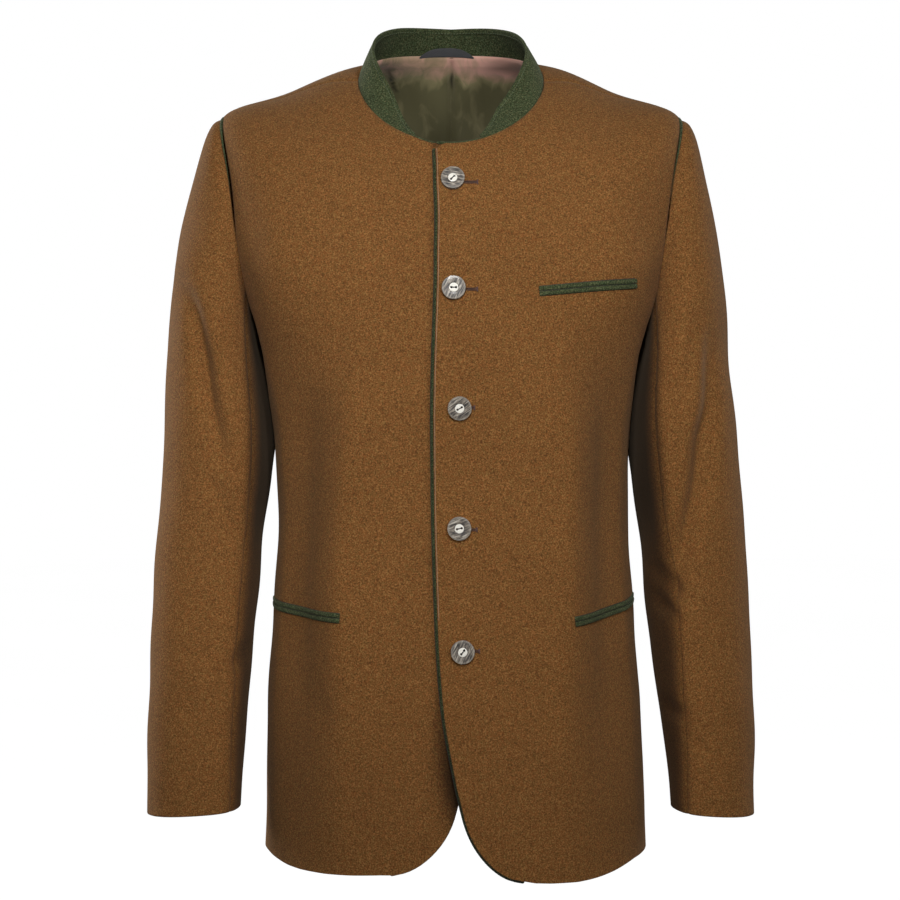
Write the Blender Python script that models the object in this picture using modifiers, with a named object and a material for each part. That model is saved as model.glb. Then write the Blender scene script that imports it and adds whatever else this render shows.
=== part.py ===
"""Tyrolean loden jacket, hollow and in its worn form.

Metres, +Z up.  The wearer faces -Y, so the wearer's left side is at +X.
The origin is between the shoulder points of the neckline, where the shoulders carry it.

The trunk is one form: a family of rings, each given by an angle round the body (0 at the
centre front, 90 at the side, 180 at the centre back) and a level that runs from the hem,
under the arm and over the shoulder to the neckline.  Panels are cut from it along their
seams.  Each sleeve is a second family of rings that starts at the armhole.
"""
import math
from collections import namedtuple
from functools import lru_cache

import bmesh
import bpy
from mathutils import Matrix, Vector

# ------------------------------------------------------------------ walls and gaps
LODEN = 0.0018
COLLAR_CLOTH = 0.0024
TRIM = 0.0012
LINING = 0.0010
RIBBON = 0.0008
SEAM = 0.0003
SLEEVE_SEAM = 0.0006
LAP_GAP = 0.0006
LAID_ON = 0.0005

# ------------------------------------------------------------------ trunk
Ring = namedtuple(
    "Ring", "name half_width shift_x side_y front_y back_y side_z front_z back_z tilt fullness")
BODY_RINGS = (
    Ring("hem", 0.1795, 0.0025, 0.000, -0.147, 0.145, -0.7405, -0.7495, -0.7230, 0.013, 0.10),
    Ring("skirt", 0.1785, 0.0025, 0.000, -0.146, 0.144, -0.6910, -0.7000, -0.6780, 0.010, 0.10),
    Ring("hip", 0.1772, 0.0020, 0.000, -0.143, 0.141, -0.6050, -0.6110, -0.5960, 0.004, 0.10),
    Ring("high hip", 0.1712, 0.0015, 0.000, -0.138, 0.133, -0.5270, -0.5310, -0.5210, 0.001, 0.10),
    Ring("waist", 0.1655, 0.0008, 0.000, -0.132, 0.123, -0.4300, -0.4330, -0.4250, 0.000, 0.10),
    Ring("midriff", 0.1668, 0.0000, 0.000, -0.133, 0.123, -0.3650, -0.3690, -0.3580, 0.000, 0.10),
    Ring("chest", 0.1725, 0.0000, 0.000, -0.137, 0.127, -0.3100, -0.3180, -0.3020, 0.000, 0.10),
    Ring("underarm", 0.1810, 0.0000, 0.000, -0.138, 0.131, -0.2500, -0.2680, -0.2380, 0.000, 0.10),
    Ring("low armhole", 0.2000, 0.0000, 0.002, -0.135, 0.133, -0.2000, -0.2350, -0.1900, 0.000, 0.10),
    Ring("armhole", 0.2185, 0.0000, 0.004, -0.131, 0.132, -0.1500, -0.2050, -0.1480, 0.000, 0.09),
    Ring("high armhole", 0.2220, 0.0000, 0.006, -0.125, 0.127, -0.1000, -0.1760, -0.1050, 0.000, 0.08),
    Ring("shoulder end", 0.2150, 0.0000, 0.008, -0.117, 0.117, -0.0490, -0.1470, -0.0620, 0.004, 0.06),
    Ring("mid shoulder", 0.1550, 0.0000, 0.006, -0.105, 0.101, -0.0295, -0.1120, -0.0160, 0.026, 0.03),
    Ring("neck slope", 0.1150, 0.0000, -0.001, -0.0955, 0.0885, -0.0165, -0.0935, 0.0010, 0.041, 0.01),
    Ring("neck", 0.0880, 0.0000, -0.010, -0.088, 0.078, -0.0160, -0.0787, 0.0110, 0.048, 0.00),
)
SOFT_ROLL = 0.045
ROLL_EASE = 0.090
SIDE_SEAM = 95.0
SHOULDER_SEAM = 90.0
ARMHOLE_FRONT_HOLLOW = 28.0
ARMHOLE_BACK_HOLLOW = 28.0

# ------------------------------------------------------------------ front edges
EdgeRow = namedtuple("EdgeRow", "name z over_x under_x")
FRONT_EDGES = (
    EdgeRow("hem", -0.7495, 0.0262, -0.0098),
    EdgeRow("corner", -0.6900, 0.0116, 0.0045),
    EdgeRow("cutaway", -0.6600, 0.0042, 0.0115),
    EdgeRow("skirt", -0.6000, -0.0064, 0.0170),
    EdgeRow("pocket", -0.5000, -0.0128, 0.0190),
    EdgeRow("midriff", -0.3330, -0.0160, 0.0190),
    EdgeRow("chest", -0.1960, -0.0128, 0.0185),
    EdgeRow("neck", -0.0787, -0.0128, 0.0180),
)
OVER_CORNER = 0.0404
UNDER_CORNER = -0.0446
OVER_HEM_DROP = 0.0066
OVER_DROP_END = 68.0
OVER_DROP_EASE = 28.0
LAP_EASE = 0.020
LAP_REACH = 0.004

# ------------------------------------------------------------------ sleeves
SleeveRing = namedtuple(
    "SleeveRing",
    "name outer_x outer_z inner_x inner_z front_y back_y warp right_fuller left_inner "
    "fore_left fore_right")
ARMHOLE_OVAL = SleeveRing("armhole", 0.2150, -0.0490, 0.1810, -0.2500, -0.0620, 0.0720,
                          1.0, 0.0, 0.0, 126, 126)
SLEEVE_RINGS = (
    SleeveRing("crown", 0.2262, -0.0580, 0.1818, -0.2555, -0.0630, 0.0715, 0.75, 0, 0, 126, 126),
    SleeveRing("cap", 0.2340, -0.0780, 0.1800, -0.2660, -0.0665, 0.0725, 0.55, 0.001, 0, 126, 127),
    SleeveRing("upper", 0.2460, -0.1280, 0.1780, -0.2800, -0.0710, 0.0745, 0.25, 0.0035, 0, 126, 129),
    SleeveRing("bicep", 0.2575, -0.2020, 0.1752, -0.3000, -0.0745, 0.0755, 0.05, 0.0055, 0, 126, 131),
    SleeveRing("arm", 0.2640, -0.2850, 0.1710, -0.3420, -0.0745, 0.0710, 0, 0.005, 0, 126, 133),
    SleeveRing("above elbow", 0.2715, -0.3650, 0.1720, -0.3950, -0.0700, 0.0610, 0, 0.001, 0.001, 124, 135),
    SleeveRing("elbow", 0.2785, -0.4450, 0.1790, -0.4550, -0.0680, 0.0550, 0, 0, 0.001, 120, 136),
    SleeveRing("forearm", 0.2840, -0.5450, 0.1870, -0.5480, -0.0770, 0.0370, 0, 0, 0.0015, 118, 138),
    SleeveRing("wrist", 0.2860, -0.6400, 0.1945, -0.6400, -0.0850, 0.0160, 0, 0, 0.0075, 126, 142),
    SleeveRing("cuff", 0.2855, -0.7045, 0.1975, -0.6980, -0.0920, 0.0010, 0, 0, 0.0095, 132, 147),
)
HIND_SEAM = 252.0
SLEEVE_FULLNESS = 0.05
SLEEVE_STEP = 18.0
SEAM_EASE_ROWS = 6
SLEEVE_STATIONS = (0, 0.5, 1, 1.5, 2, 2.5, 3, 3.5, 4, 4.5, 5, 6, 7, 8, 9, 10)
SHOULDER_PIPING_WIDTH = 0.0044
SHOULDER_PIPING_REACH = 72.0
SHOULDER_PIPING_END = 66.0

# ------------------------------------------------------------------ collar
CollarRow = namedtuple("CollarRow", "name angle lean_left lean_right height")
COLLAR_ROWS = (
    CollarRow("front", 15.0, 60.0, 60.0, 0.0270),
    CollarRow("front side", 45.0, 54.0, 54.0, 0.0280),
    CollarRow("side", 90.0, 33.0, 27.0, 0.0300),
    CollarRow("back side", 135.0, 27.0, 19.0, 0.0295),
    CollarRow("back", 180.0, 12.0, 12.0, 0.0285),
)
COLLAR_TIP_LEFT = 19.5
COLLAR_TIP_RIGHT = 24.2
COLLAR_TAPER = 39.0
COLLAR_TIP_HEIGHT = 0.0030
COLLAR_STEPS = 3
COLLAR_CLEAR = 1.0
NECK_PIPING_HEIGHT = 0.0018
EDGE_PIPING_WIDTH = 0.0020

# ------------------------------------------------------------------ pockets, buttons, loop
JET_HEIGHT = 0.0041
JET_SLIT = 0.0004
Pocket = namedtuple("Pocket", "name start_angle start_z end_angle end_z")
POCKETS = (
    Pocket("chest_pocket", 21.1, -0.2153, 54.5, -0.2062),
    Pocket("pocket_left", 36.0, -0.5188, 87.0, -0.5045),
    Pocket("pocket_right", -32.6, -0.5151, -87.0, -0.5080),
)
Button = namedtuple("Button", "name x z lift hole_turn")
BUTTONS = (
    Button("button_1", 0.0015, -0.1124, 0.0001, 45.0),
    Button("button_2", 0.0024, -0.2122, 0.0003, 0.0),
    Button("button_3", 0.0077, -0.3217, 0.0004, 30.0),
    Button("button_4", 0.0075, -0.4317, 0.0007, 12.0),
    Button("button_5", 0.0105, -0.5444, 0.0006, 50.0),
)
BUTTON_RADIUS = 0.0109
BUTTON_THICKNESS = 0.0042
BUTTON_DISH_RADIUS = 0.0046
BUTTON_DISH_DEPTH = 0.0011
BUTTON_BEVEL = 0.0011
BUTTON_HOLE_RADIUS = 0.0010
BUTTON_HOLE_SPACING = 0.0044
LOOP_HALF_LENGTH = 0.0240
LOOP_CENTRE_X = -0.0030
LOOP_RISE = 0.0085
LOOP_WIDTH = 0.0045
LOOP_GAP = 0.0008

# ------------------------------------------------------------------ mesh steps
FRONT_COLUMNS = 14
BACK_COLUMNS = 10
CORNER_ROWS = 4
TRUNK_ROWS = 9
SHOULDER_ROWS = 3
LINING_FIRST_ROW = 3
LINING_DROP = 0.12
TINY = 1e-4


def smooth_column(knots, values, at):
    """Value at one place on a smooth curve through a column of a table."""
    last = len(knots) - 1
    at = min(max(at, knots[0]), knots[last])
    i = 0
    while i < last - 1 and at > knots[i + 1]:
        i += 1

    def slope(k):
        low, high = max(k - 1, 0), min(k + 1, last)
        return (values[high] - values[low]) / (knots[high] - knots[low])

    span = knots[i + 1] - knots[i]
    f = (at - knots[i]) / span
    start = (1 + 2 * f) * (1 - f) ** 2 * values[i] + f * (1 - f) ** 2 * span * slope(i)
    end = f * f * (3 - 2 * f) * values[i + 1] - f * f * (1 - f) * span * slope(i + 1)
    return start + end


def smooth_step(f):
    """0 to 1 with level ends."""
    f = min(max(f, 0.0), 1.0)
    return f * f * (3 - 2 * f)


def side_line_levels():
    """Level of each ring: its distance from the hem along the side of the body."""
    levels = [0.0]
    for low, high in zip(BODY_RINGS, BODY_RINGS[1:]):
        step = math.hypot(high.half_width - low.half_width, high.side_z - low.side_z)
        levels.append(levels[-1] + step)
    return levels


LEVELS = side_line_levels()
LEVEL_OF = {ring.name: level for ring, level in zip(BODY_RINGS, LEVELS)}
HEM = LEVEL_OF["hem"]
UNDERARM = LEVEL_OF["underarm"]
SHOULDER_END = LEVEL_OF["shoulder end"]
NECK = LEVEL_OF["neck"]


@lru_cache(maxsize=None)
def ring_at(level):
    """The ring at any level."""
    columns = list(zip(*BODY_RINGS))[1:]
    return Ring("", *(smooth_column(LEVELS, column, level) for column in columns))


def plain_point(angle, level):
    """Point of the rings themselves; negative angles are the wearer's right."""
    ring = ring_at(level)
    turn = math.radians(angle)
    across, along = math.sin(turn), math.cos(turn)
    if along > 0:
        reach_y, reach_z = ring.front_y, ring.front_z - ring.side_z + ring.tilt
    else:
        reach_y, reach_z = ring.back_y, ring.back_z - ring.side_z - ring.tilt
    x = ring.shift_x + ring.half_width * across * (1 + ring.fullness * along ** 2)
    y = ring.side_y + (reach_y - ring.side_y) * abs(along) * (1 + ring.fullness * across ** 2)
    z = ring.side_z - ring.tilt * along + reach_z * along ** 2
    return Vector((x, y, z))


def body_point(angle, level):
    """Point of the trunk's outer face: the rings, rolled softly over chest and shoulder blades."""
    near_side = math.sin(math.radians(angle)) ** 4
    above_hem = smooth_step((level - HEM) / ROLL_EASE)
    below_neck = smooth_step((NECK - level) / ROLL_EASE)
    roll = SOFT_ROLL * (1 - near_side) * above_hem * below_neck
    low, high = plain_point(angle, level - roll), plain_point(angle, level + roll)
    return (low + high + 2 * plain_point(angle, level)) / 4


def surface_normal(surface, u, v, step_u, step_v, low_v, high_v):
    """Outward normal of a surface given as a function of two numbers."""
    along_u = surface(u + step_u, v) - surface(u - step_u, v)
    along_v = surface(u, min(v + step_v, high_v)) - surface(u, max(v - step_v, low_v))
    return along_u.cross(along_v).normalized()


def body_normal(angle, level):
    return surface_normal(body_point, angle, level, 0.5, TINY, HEM, NECK)


def angle_of_x(level, x):
    """Angle on the front of a ring where it reaches x."""
    ring = ring_at(level)
    angle = 0.0
    for _ in range(12):
        reach = ring.half_width * (1 + ring.fullness * math.cos(angle) ** 2)
        angle = math.asin((x - ring.shift_x) / reach)
    return math.degrees(angle)


def level_at_height(angle, z):
    """Level where the trunk's line at one angle reaches the height z."""
    low, high = HEM, NECK
    for _ in range(40):
        middle = (low + high) / 2
        if body_point(angle, middle).z < z:
            low = middle
        else:
            high = middle
    return low


def place_on_front(x, z):
    """Angle and level of a point of the front, from its x and z."""
    angle = 0.0
    level = level_at_height(angle, z)
    for _ in range(12):
        angle = angle_of_x(level, x)
        level = level_at_height(angle, z)
    return angle, level


# ------------------------------------------------------------------ front edges and lap

def edge_x(over, front_z):
    """x of a front's edge: a near-straight line that rounds away at the hem."""
    heights = [row.z for row in FRONT_EDGES]
    line = [row.over_x if over else row.under_x for row in FRONT_EDGES]
    hem_z, corner_z = FRONT_EDGES[0].z, FRONT_EDGES[1].z
    drop = min(max((corner_z - front_z) / (corner_z - hem_z), 0.0), 1.0)
    corner = OVER_CORNER if over else UNDER_CORNER
    return smooth_column(heights, line, front_z) + corner * (1 - math.sqrt(1 - drop * drop))


def over_hem_drop(angle, level):
    """The upper front hangs a little lower than the one beneath it."""
    fade = 1 - smooth_step(level / LEVEL_OF["hip"])
    return OVER_HEM_DROP * fade * smooth_step((OVER_DROP_END - abs(angle)) / OVER_DROP_EASE)


def over_front_point(angle, level):
    return body_point(angle, level) - Vector((0, 0, over_hem_drop(angle, level)))


def lap_depth(point, level):
    """How far the right front sinks to pass beneath the left one."""
    edge = edge_x(True, ring_at(level).front_z)
    start = edge - LAP_REACH - LAP_EASE
    return (LODEN + LAP_GAP) * smooth_step((point.x - start) / LAP_EASE)


def under_front_point(angle, level):
    point = body_point(angle, level)
    return point - body_normal(angle, level) * lap_depth(point, level)


def over_front_normal(angle, level):
    return surface_normal(over_front_point, angle, level, 0.5, TINY, HEM, NECK)


def under_front_normal(angle, level):
    return surface_normal(under_front_point, angle, level, 0.5, TINY, HEM, NECK)


# ------------------------------------------------------------------ armhole and sleeve

def armhole_place(turn):
    """Angle and level on the body's left side at one turn of the armhole.

    0 is the shoulder, 90 the front, 180 under the arm and 270 the back.
    """
    rise = (1 + math.cos(math.radians(turn))) / 2
    swing = math.sin(math.radians(turn))
    middle = SIDE_SEAM + (SHOULDER_SEAM - SIDE_SEAM) * rise
    hollow = ARMHOLE_FRONT_HOLLOW if swing > 0 else ARMHOLE_BACK_HOLLOW
    return middle - hollow * swing, UNDERARM + (SHOULDER_END - UNDERARM) * rise


@lru_cache(maxsize=None)
def armhole_corner(side, turn):
    angle, level = armhole_place(turn)
    return body_point(side * angle, level)


def armhole_point(side, turn):
    """Point of the armhole seam, straight between the seam's corner points."""
    low = math.floor(turn / SLEEVE_STEP) * SLEEVE_STEP
    share = (turn - low) / SLEEVE_STEP
    if share < TINY:
        return armhole_corner(side, low).copy()
    return armhole_corner(side, low).lerp(armhole_corner(side, low + SLEEVE_STEP), share)


def sleeve_ring_point(side, turn, row):
    """Point of one oval sleeve ring."""
    outer_x = row.outer_x + (row.right_fuller if side < 0 else 0.0)
    inner_x = row.inner_x + (row.left_inner if side > 0 else 0.0)
    outer = Vector((outer_x, 0, row.outer_z))
    inner = Vector((inner_x, 0, row.inner_z))
    half_depth = Vector((0, (row.front_y - row.back_y) / 2, 0))
    centre = (outer + inner) / 2 + Vector((0, (row.front_y + row.back_y) / 2, 0))
    across, along = math.cos(math.radians(turn)), math.sin(math.radians(turn))
    point = (centre + (outer - inner) / 2 * across * (1 + SLEEVE_FULLNESS * along ** 2)
             + half_depth * along * (1 + SLEEVE_FULLNESS * across ** 2))
    point.x *= side
    return point


def piping_width(turn):
    """Width of the shoulder piping at one turn of the armhole."""
    turn = (turn + 180) % 360 - 180
    if abs(turn) >= SHOULDER_PIPING_REACH:
        return 0.0
    return SHOULDER_PIPING_WIDTH * math.cos(math.radians(turn * 90 / SHOULDER_PIPING_REACH))


def warped_ring_point(side, turn, row):
    """A sleeve ring near the armhole keeps part of the armhole's own warp."""
    warp = armhole_point(side, turn) - sleeve_ring_point(side, turn, ARMHOLE_OVAL)
    return sleeve_ring_point(side, turn, row) + warp * row.warp


def armhole_outward(side, turn):
    """Direction from the armhole seam into the sleeve."""
    return (warped_ring_point(side, turn, SLEEVE_RINGS[0]) - armhole_point(side, turn)).normalized()


def sleeve_start(side, turn):
    width = piping_width(turn)
    gap = 2 * SEAM if width > 0 else SEAM
    return armhole_point(side, turn) + armhole_outward(side, turn) * (width + gap)


@lru_cache(maxsize=None)
def sleeve_line(side, turn):
    """Points of one line along the sleeve, from armhole to cuff."""
    rings = [warped_ring_point(side, turn, row) for row in SLEEVE_RINGS]
    return [sleeve_start(side, turn)] + rings


def sleeve_knots():
    """Distance of each ring along the sleeve, as the mean of four lines."""
    lines = [sleeve_line(1, turn) for turn in (0.0, 90.0, 180.0, 270.0)]
    knots = [0.0]
    for i in range(len(SLEEVE_RINGS)):
        steps = [(line[i + 1] - line[i]).length for line in lines]
        knots.append(knots[-1] + sum(steps) / len(steps))
    return knots


SLEEVE_KNOTS = sleeve_knots()
CUFF = float(len(SLEEVE_RINGS))


def sleeve_point(side, turn, station):
    """Point of a sleeve's outer face; station 0 is the armhole and 10 the cuff."""
    low = min(int(station), len(SLEEVE_RINGS) - 1)
    at = SLEEVE_KNOTS[low] + (SLEEVE_KNOTS[low + 1] - SLEEVE_KNOTS[low]) * (station - low)
    return smooth_column(SLEEVE_KNOTS, sleeve_line(side, turn), at)


def sleeve_normal(side, turn, station):
    def surface(u, v):
        return sleeve_point(side, u, v)
    normal = surface_normal(surface, turn, station, 0.5, 0.01, 0.0, CUFF)
    return normal if side > 0 else -normal


def fore_seam(side, station):
    """Turn of the forearm seam at one station."""
    column = [row.fore_left if side > 0 else row.fore_right for row in SLEEVE_RINGS]
    return smooth_column(list(range(len(column) + 1)), [column[0]] + column, station)


def seam_wall(own, other):
    """Wall direction at a seam: both pieces share it where their faces agree."""
    share = min(max(2 * own.dot(other), 0.0), 1.0)
    return (own + other * share).normalized()


def armhole_wall(side, turn, for_sleeve):
    angle, level = armhole_place(turn)
    of_body = body_normal(side * angle, level)
    of_sleeve = sleeve_normal(side, turn, 0.0)
    if for_sleeve:
        return seam_wall(of_sleeve, of_body)
    return seam_wall(of_body, of_sleeve)


# ------------------------------------------------------------------ collar

def collar_place(angle):
    """Lean and height of the collar at one angle round the neck (0 to 360)."""
    half = angle if angle <= 180 else 360 - angle
    tip = COLLAR_TIP_LEFT if angle <= 180 else COLLAR_TIP_RIGHT
    angles = [row.angle for row in COLLAR_ROWS]
    leans = [row.lean_left if angle <= 180 else row.lean_right for row in COLLAR_ROWS]
    lean = smooth_column(angles, leans, half)
    height = smooth_column(angles, [row.height for row in COLLAR_ROWS], half)
    taper = min(max((half - tip) / COLLAR_TAPER, 0.0), 1.0)
    height = COLLAR_TIP_HEIGHT + (height - COLLAR_TIP_HEIGHT) * math.sin(math.pi / 2 * taper)
    return math.radians(lean), height


def collar_up(angle):
    """Direction in which the collar stands up from the neck seam."""
    lean, _ = collar_place(angle % 360)
    out = body_point(angle, NECK) - body_point(angle + 180, NECK)
    out.z = 0
    return (Vector((0, 0, math.cos(lean))) - out.normalized() * math.sin(lean)).normalized()


def collar_normal(angle):
    around = body_point(angle + 0.5, NECK) - body_point(angle - 0.5, NECK)
    return around.cross(collar_up(angle)).normalized()


def neck_wall(angle, own):
    return seam_wall(own, collar_normal(angle))


# ------------------------------------------------------------------ materials and cloth builder

def material(name, colour, roughness):
    made = bpy.data.materials.new(name)
    made.use_nodes = True
    shader = made.node_tree.nodes["Principled BSDF"]
    shader.inputs["Base Color"].default_value = (*colour, 1.0)
    shader.inputs["Roughness"].default_value = roughness
    shader.inputs["Metallic"].default_value = 0.0
    return made


def add_piece(name, mesh, finish):
    piece = bpy.data.objects.new(name, mesh)
    piece.data.materials.append(finish)
    bpy.data.collections["tyrolean_loden_jacket"].objects.link(piece)
    return piece


def cloth(name, columns, rows, place, finish):
    """A cloth wall: a grid laid on its outer face, extruded to its inner face.

    place(i, j) gives the outer and the inner point of column i and row j.
    """
    sheet = bmesh.new()
    bmesh.ops.create_grid(sheet, x_segments=columns, y_segments=rows, size=0.5)
    extruded = bmesh.ops.extrude_face_region(sheet, geom=sheet.faces[:], use_keep_orig=True)
    inner_corners = {corner for corner in extruded["geom"] if isinstance(corner, bmesh.types.BMVert)}
    for corner in sheet.verts:
        i = round((corner.co.x + 0.5) * columns)
        j = round((corner.co.y + 0.5) * rows)
        corner.co = place(i, j)[1 if corner in inner_corners else 0]
    bmesh.ops.recalc_face_normals(sheet, faces=sheet.faces[:])
    if sheet.calc_volume(signed=True) < 0:
        bmesh.ops.reverse_faces(sheet, faces=sheet.faces[:])
    mesh = bpy.data.meshes.new(name)
    sheet.to_mesh(mesh)
    sheet.free()
    mesh.shade_smooth()
    mesh.set_sharp_from_angle(angle=math.radians(40))
    return add_piece(name, mesh, finish)


def wall(point, direction, thickness):
    return point, point - direction * thickness


def strip(name, points, normals, away, width, thickness, finish):
    """A narrow band along an edge, a seam's gap from it and growing away from it."""
    def place(i, j):
        out = away[j]
        point = points[j] + out * (SEAM + width * i)
        return wall(point, normals[j], thickness)
    return cloth(name, 1, len(points) - 1, place, finish)


def edge_directions(points, normals, turn):
    """At each point of an edge, the direction in the cloth that leads away from it."""
    away = []
    for k, normal in enumerate(normals):
        tangent = points[min(k + 1, len(points) - 1)] - points[max(k - 1, 0)]
        away.append(tangent.cross(normal).normalized() * turn)
    return away


# ------------------------------------------------------------------ trunk panels

def trunk_rows():
    """Levels of the panels' rows, with the armhole's turn where the row meets it."""
    hem_z, corner_z = FRONT_EDGES[0].z, FRONT_EDGES[1].z
    rows = []
    for k in range(CORNER_ROWS):
        drop = math.cos(math.pi / 2 * k / CORNER_ROWS)
        level = level_at_height(0.0, corner_z - (corner_z - hem_z) * drop) if k else HEM
        rows.append((level, None))
    corner = level_at_height(0.0, corner_z)
    for k in range(TRUNK_ROWS):
        rows.append((corner + (UNDERARM - corner) * k / TRUNK_ROWS, None))
    for k in range(round(180 / SLEEVE_STEP) + 1):
        turn = 180 - SLEEVE_STEP * k
        rows.append((armhole_place(turn)[1], turn))
    for k in range(1, SHOULDER_ROWS + 1):
        rows.append((SHOULDER_END + (NECK - SHOULDER_END) * k / SHOULDER_ROWS, None))
    return rows


ROWS = trunk_rows()


def half_seam(angle, level):
    """Half a seam's gap as an angle of the ring."""
    reach = (body_point(angle + 0.5, level) - body_point(angle - 0.5, level)).length
    return SEAM / 2 / reach


def outer_angle(front, j):
    """Angle at which a panel ends on its outer side in row j: side seam, armhole or shoulder."""
    level, turn = ROWS[j]
    if turn is not None and 0 < turn < 180:
        return armhole_place(turn if front else 360 - turn)[0]
    seam = SIDE_SEAM if level <= UNDERARM else SHOULDER_SEAM
    gap = half_seam(seam, level)
    return seam - gap if front else seam + gap


def on_armhole(j):
    turn = ROWS[j][1]
    return turn is not None and 0 < turn < 180


def front_angle(side, i, j):
    """Angle of column i of a front panel in row j."""
    level, _ = ROWS[j]
    start = angle_of_x(level, edge_x(side > 0, ring_at(level).front_z))
    return start + (side * outer_angle(True, j) - start) * i / FRONT_COLUMNS


def front_panel(name, side, finish):
    over = side > 0
    surface = over_front_point if over else under_front_point
    normal_at = over_front_normal if over else under_front_normal

    def place(i, j):
        level, turn = ROWS[j]
        angle = front_angle(side, i, j)
        direction = normal_at(angle, level)
        if i == FRONT_COLUMNS and on_armhole(j):
            direction = armhole_wall(side, turn, False)
        elif j == len(ROWS) - 1:
            direction = neck_wall(angle, direction)
        return wall(surface(angle, level), direction, LODEN)

    return cloth(name, FRONT_COLUMNS, len(ROWS) - 1, place, finish)


def back_angle(side, i, j):
    level, _ = ROWS[j]
    start = outer_angle(False, j)
    end = 180 - half_seam(180, level)
    return side * (start + (end - start) * i / BACK_COLUMNS)


def back_panel(name, side, finish):
    def place(i, j):
        level, turn = ROWS[j]
        angle = back_angle(side, i, j)
        direction = body_normal(angle, level)
        if i == 0 and on_armhole(j):
            direction = armhole_wall(side, 360 - turn, False)
        elif j == len(ROWS) - 1:
            direction = neck_wall(angle, direction)
        return wall(body_point(angle, level), direction, LODEN)

    return cloth(name, BACK_COLUMNS, len(ROWS) - 1, place, finish)


def back_lining(name, side, finish):
    """Half of the back's lining, on the back panel's points moved in."""
    depth = LODEN + SEAM
    top = len(ROWS) - 1

    def inside(i, row):
        level, _ = ROWS[row]
        angle = back_angle(side, i, row)
        direction = body_normal(angle, level)
        if row == top:
            direction = neck_wall(angle, direction)
        return wall(body_point(angle, level) - direction * depth, direction, LINING)

    def place(i, j):
        row = j + LINING_FIRST_ROW
        if row < top:
            return inside(i + 1, row)
        above, below = inside(i + 1, top), inside(i + 1, top - 1)
        return [high.lerp(low, LINING_DROP) for high, low in zip(above, below)]

    return cloth(name, BACK_COLUMNS - 1, top - LINING_FIRST_ROW, place, finish)


# ------------------------------------------------------------------ sleeves

def sleeve_panel(name, side, under, finish):
    start_turn = fore_seam(side, 0) if under else HIND_SEAM - 360
    end_turn = HIND_SEAM if under else fore_seam(side, 0)
    columns = round((end_turn - start_turn) / SLEEVE_STEP)

    def place(i, j):
        station = SLEEVE_STATIONS[j]
        low = fore_seam(side, station) if under else HIND_SEAM - 360
        high = HIND_SEAM if under else fore_seam(side, station)
        speed = (sleeve_point(side, low + 1.0, station) - sleeve_point(side, low, station)).length
        low += SLEEVE_SEAM / 2 / speed
        high -= SLEEVE_SEAM / 2 / speed
        turn = low + (high - low) * i / columns
        if j == 0 and 0 < i < columns:
            turn = round(turn / SLEEVE_STEP) * SLEEVE_STEP
        direction = sleeve_normal(side, turn, station)
        if j < SEAM_EASE_ROWS:
            share = j / SEAM_EASE_ROWS
            direction = armhole_wall(side, turn, True).lerp(direction, share).normalized()
        return wall(sleeve_point(side, turn, station), direction, LODEN)

    return cloth(name, columns, len(SLEEVE_STATIONS) - 1, place, finish)


def shoulder_piping(name, side, finish):
    inner_turns = [k * SLEEVE_STEP for k in range(-3, 4)]
    turns = [-SHOULDER_PIPING_END] + inner_turns + [SHOULDER_PIPING_END]

    def place(i, j):
        turn = turns[j]
        out = armhole_outward(side, turn)
        point = armhole_point(side, turn) + out * (SEAM + piping_width(turn) * i)
        return wall(point, armhole_wall(side, turn, False), TRIM)

    return cloth(name, 1, len(turns) - 1, place, finish)


# ------------------------------------------------------------------ collar and pipings

def collar_angles():
    """The collar is sewn on at the panels' own columns, between its two points."""
    top = len(ROWS) - 1
    left_front = [front_angle(1, i, top) for i in range(FRONT_COLUMNS)]
    right_front = [360 + front_angle(-1, i, top) for i in range(FRONT_COLUMNS)]
    left_back = [back_angle(1, i, top) for i in range(BACK_COLUMNS)]
    right_back = [360 + back_angle(-1, i, top) for i in range(BACK_COLUMNS)]
    start, end = COLLAR_TIP_LEFT, 360 - COLLAR_TIP_RIGHT
    between = left_front + left_back + [180.0] + right_back + right_front
    clear = [angle for angle in between if start + COLLAR_CLEAR < angle < end - COLLAR_CLEAR]
    return [start] + sorted(clear) + [end]


def stand_collar(finish):
    angles = collar_angles()

    def place(i, j):
        angle = angles[i]
        _, height = collar_place(angle)
        up = collar_up(angle)
        base = body_point(angle, NECK)
        if angle > 270:
            base = under_front_point(angle - 360, NECK)
        point = base + up * (SEAM + height * j / COLLAR_STEPS)
        direction = collar_normal(angle)
        if j == 0:
            direction = seam_wall(direction, body_normal(angle, NECK))
        return wall(point, direction, COLLAR_CLOTH)

    return cloth("stand_collar", len(angles) - 1, COLLAR_STEPS, place, finish)


def neck_piping(name, start, end, surface, finish):
    """The thin green edge between a collar point and the front's edge."""
    steps = 6

    def place(i, j):
        angle = start + (end - start) * i / steps
        up = collar_up(angle)
        point = surface(angle, NECK) + up * (SEAM + NECK_PIPING_HEIGHT * j)
        direction = collar_normal(angle)
        if j == 0:
            direction = seam_wall(direction, body_normal(angle, NECK))
        return wall(point, direction, LODEN)

    return cloth(name, steps, 1, place, finish)


def neck_pipings(finish):
    edge = edge_x(True, ring_at(NECK).front_z)
    edge_angle = angle_of_x(NECK, edge)
    piping_angle = angle_of_x(NECK, edge - EDGE_PIPING_WIDTH - 3 * SEAM)
    tip_gap = math.degrees(SEAM / ring_at(NECK).half_width)
    neck_piping("neck_piping_left", edge_angle, COLLAR_TIP_LEFT - tip_gap, over_front_point, finish)
    neck_piping("neck_piping_right", -COLLAR_TIP_RIGHT + tip_gap, piping_angle,
                under_front_point, finish)


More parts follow.
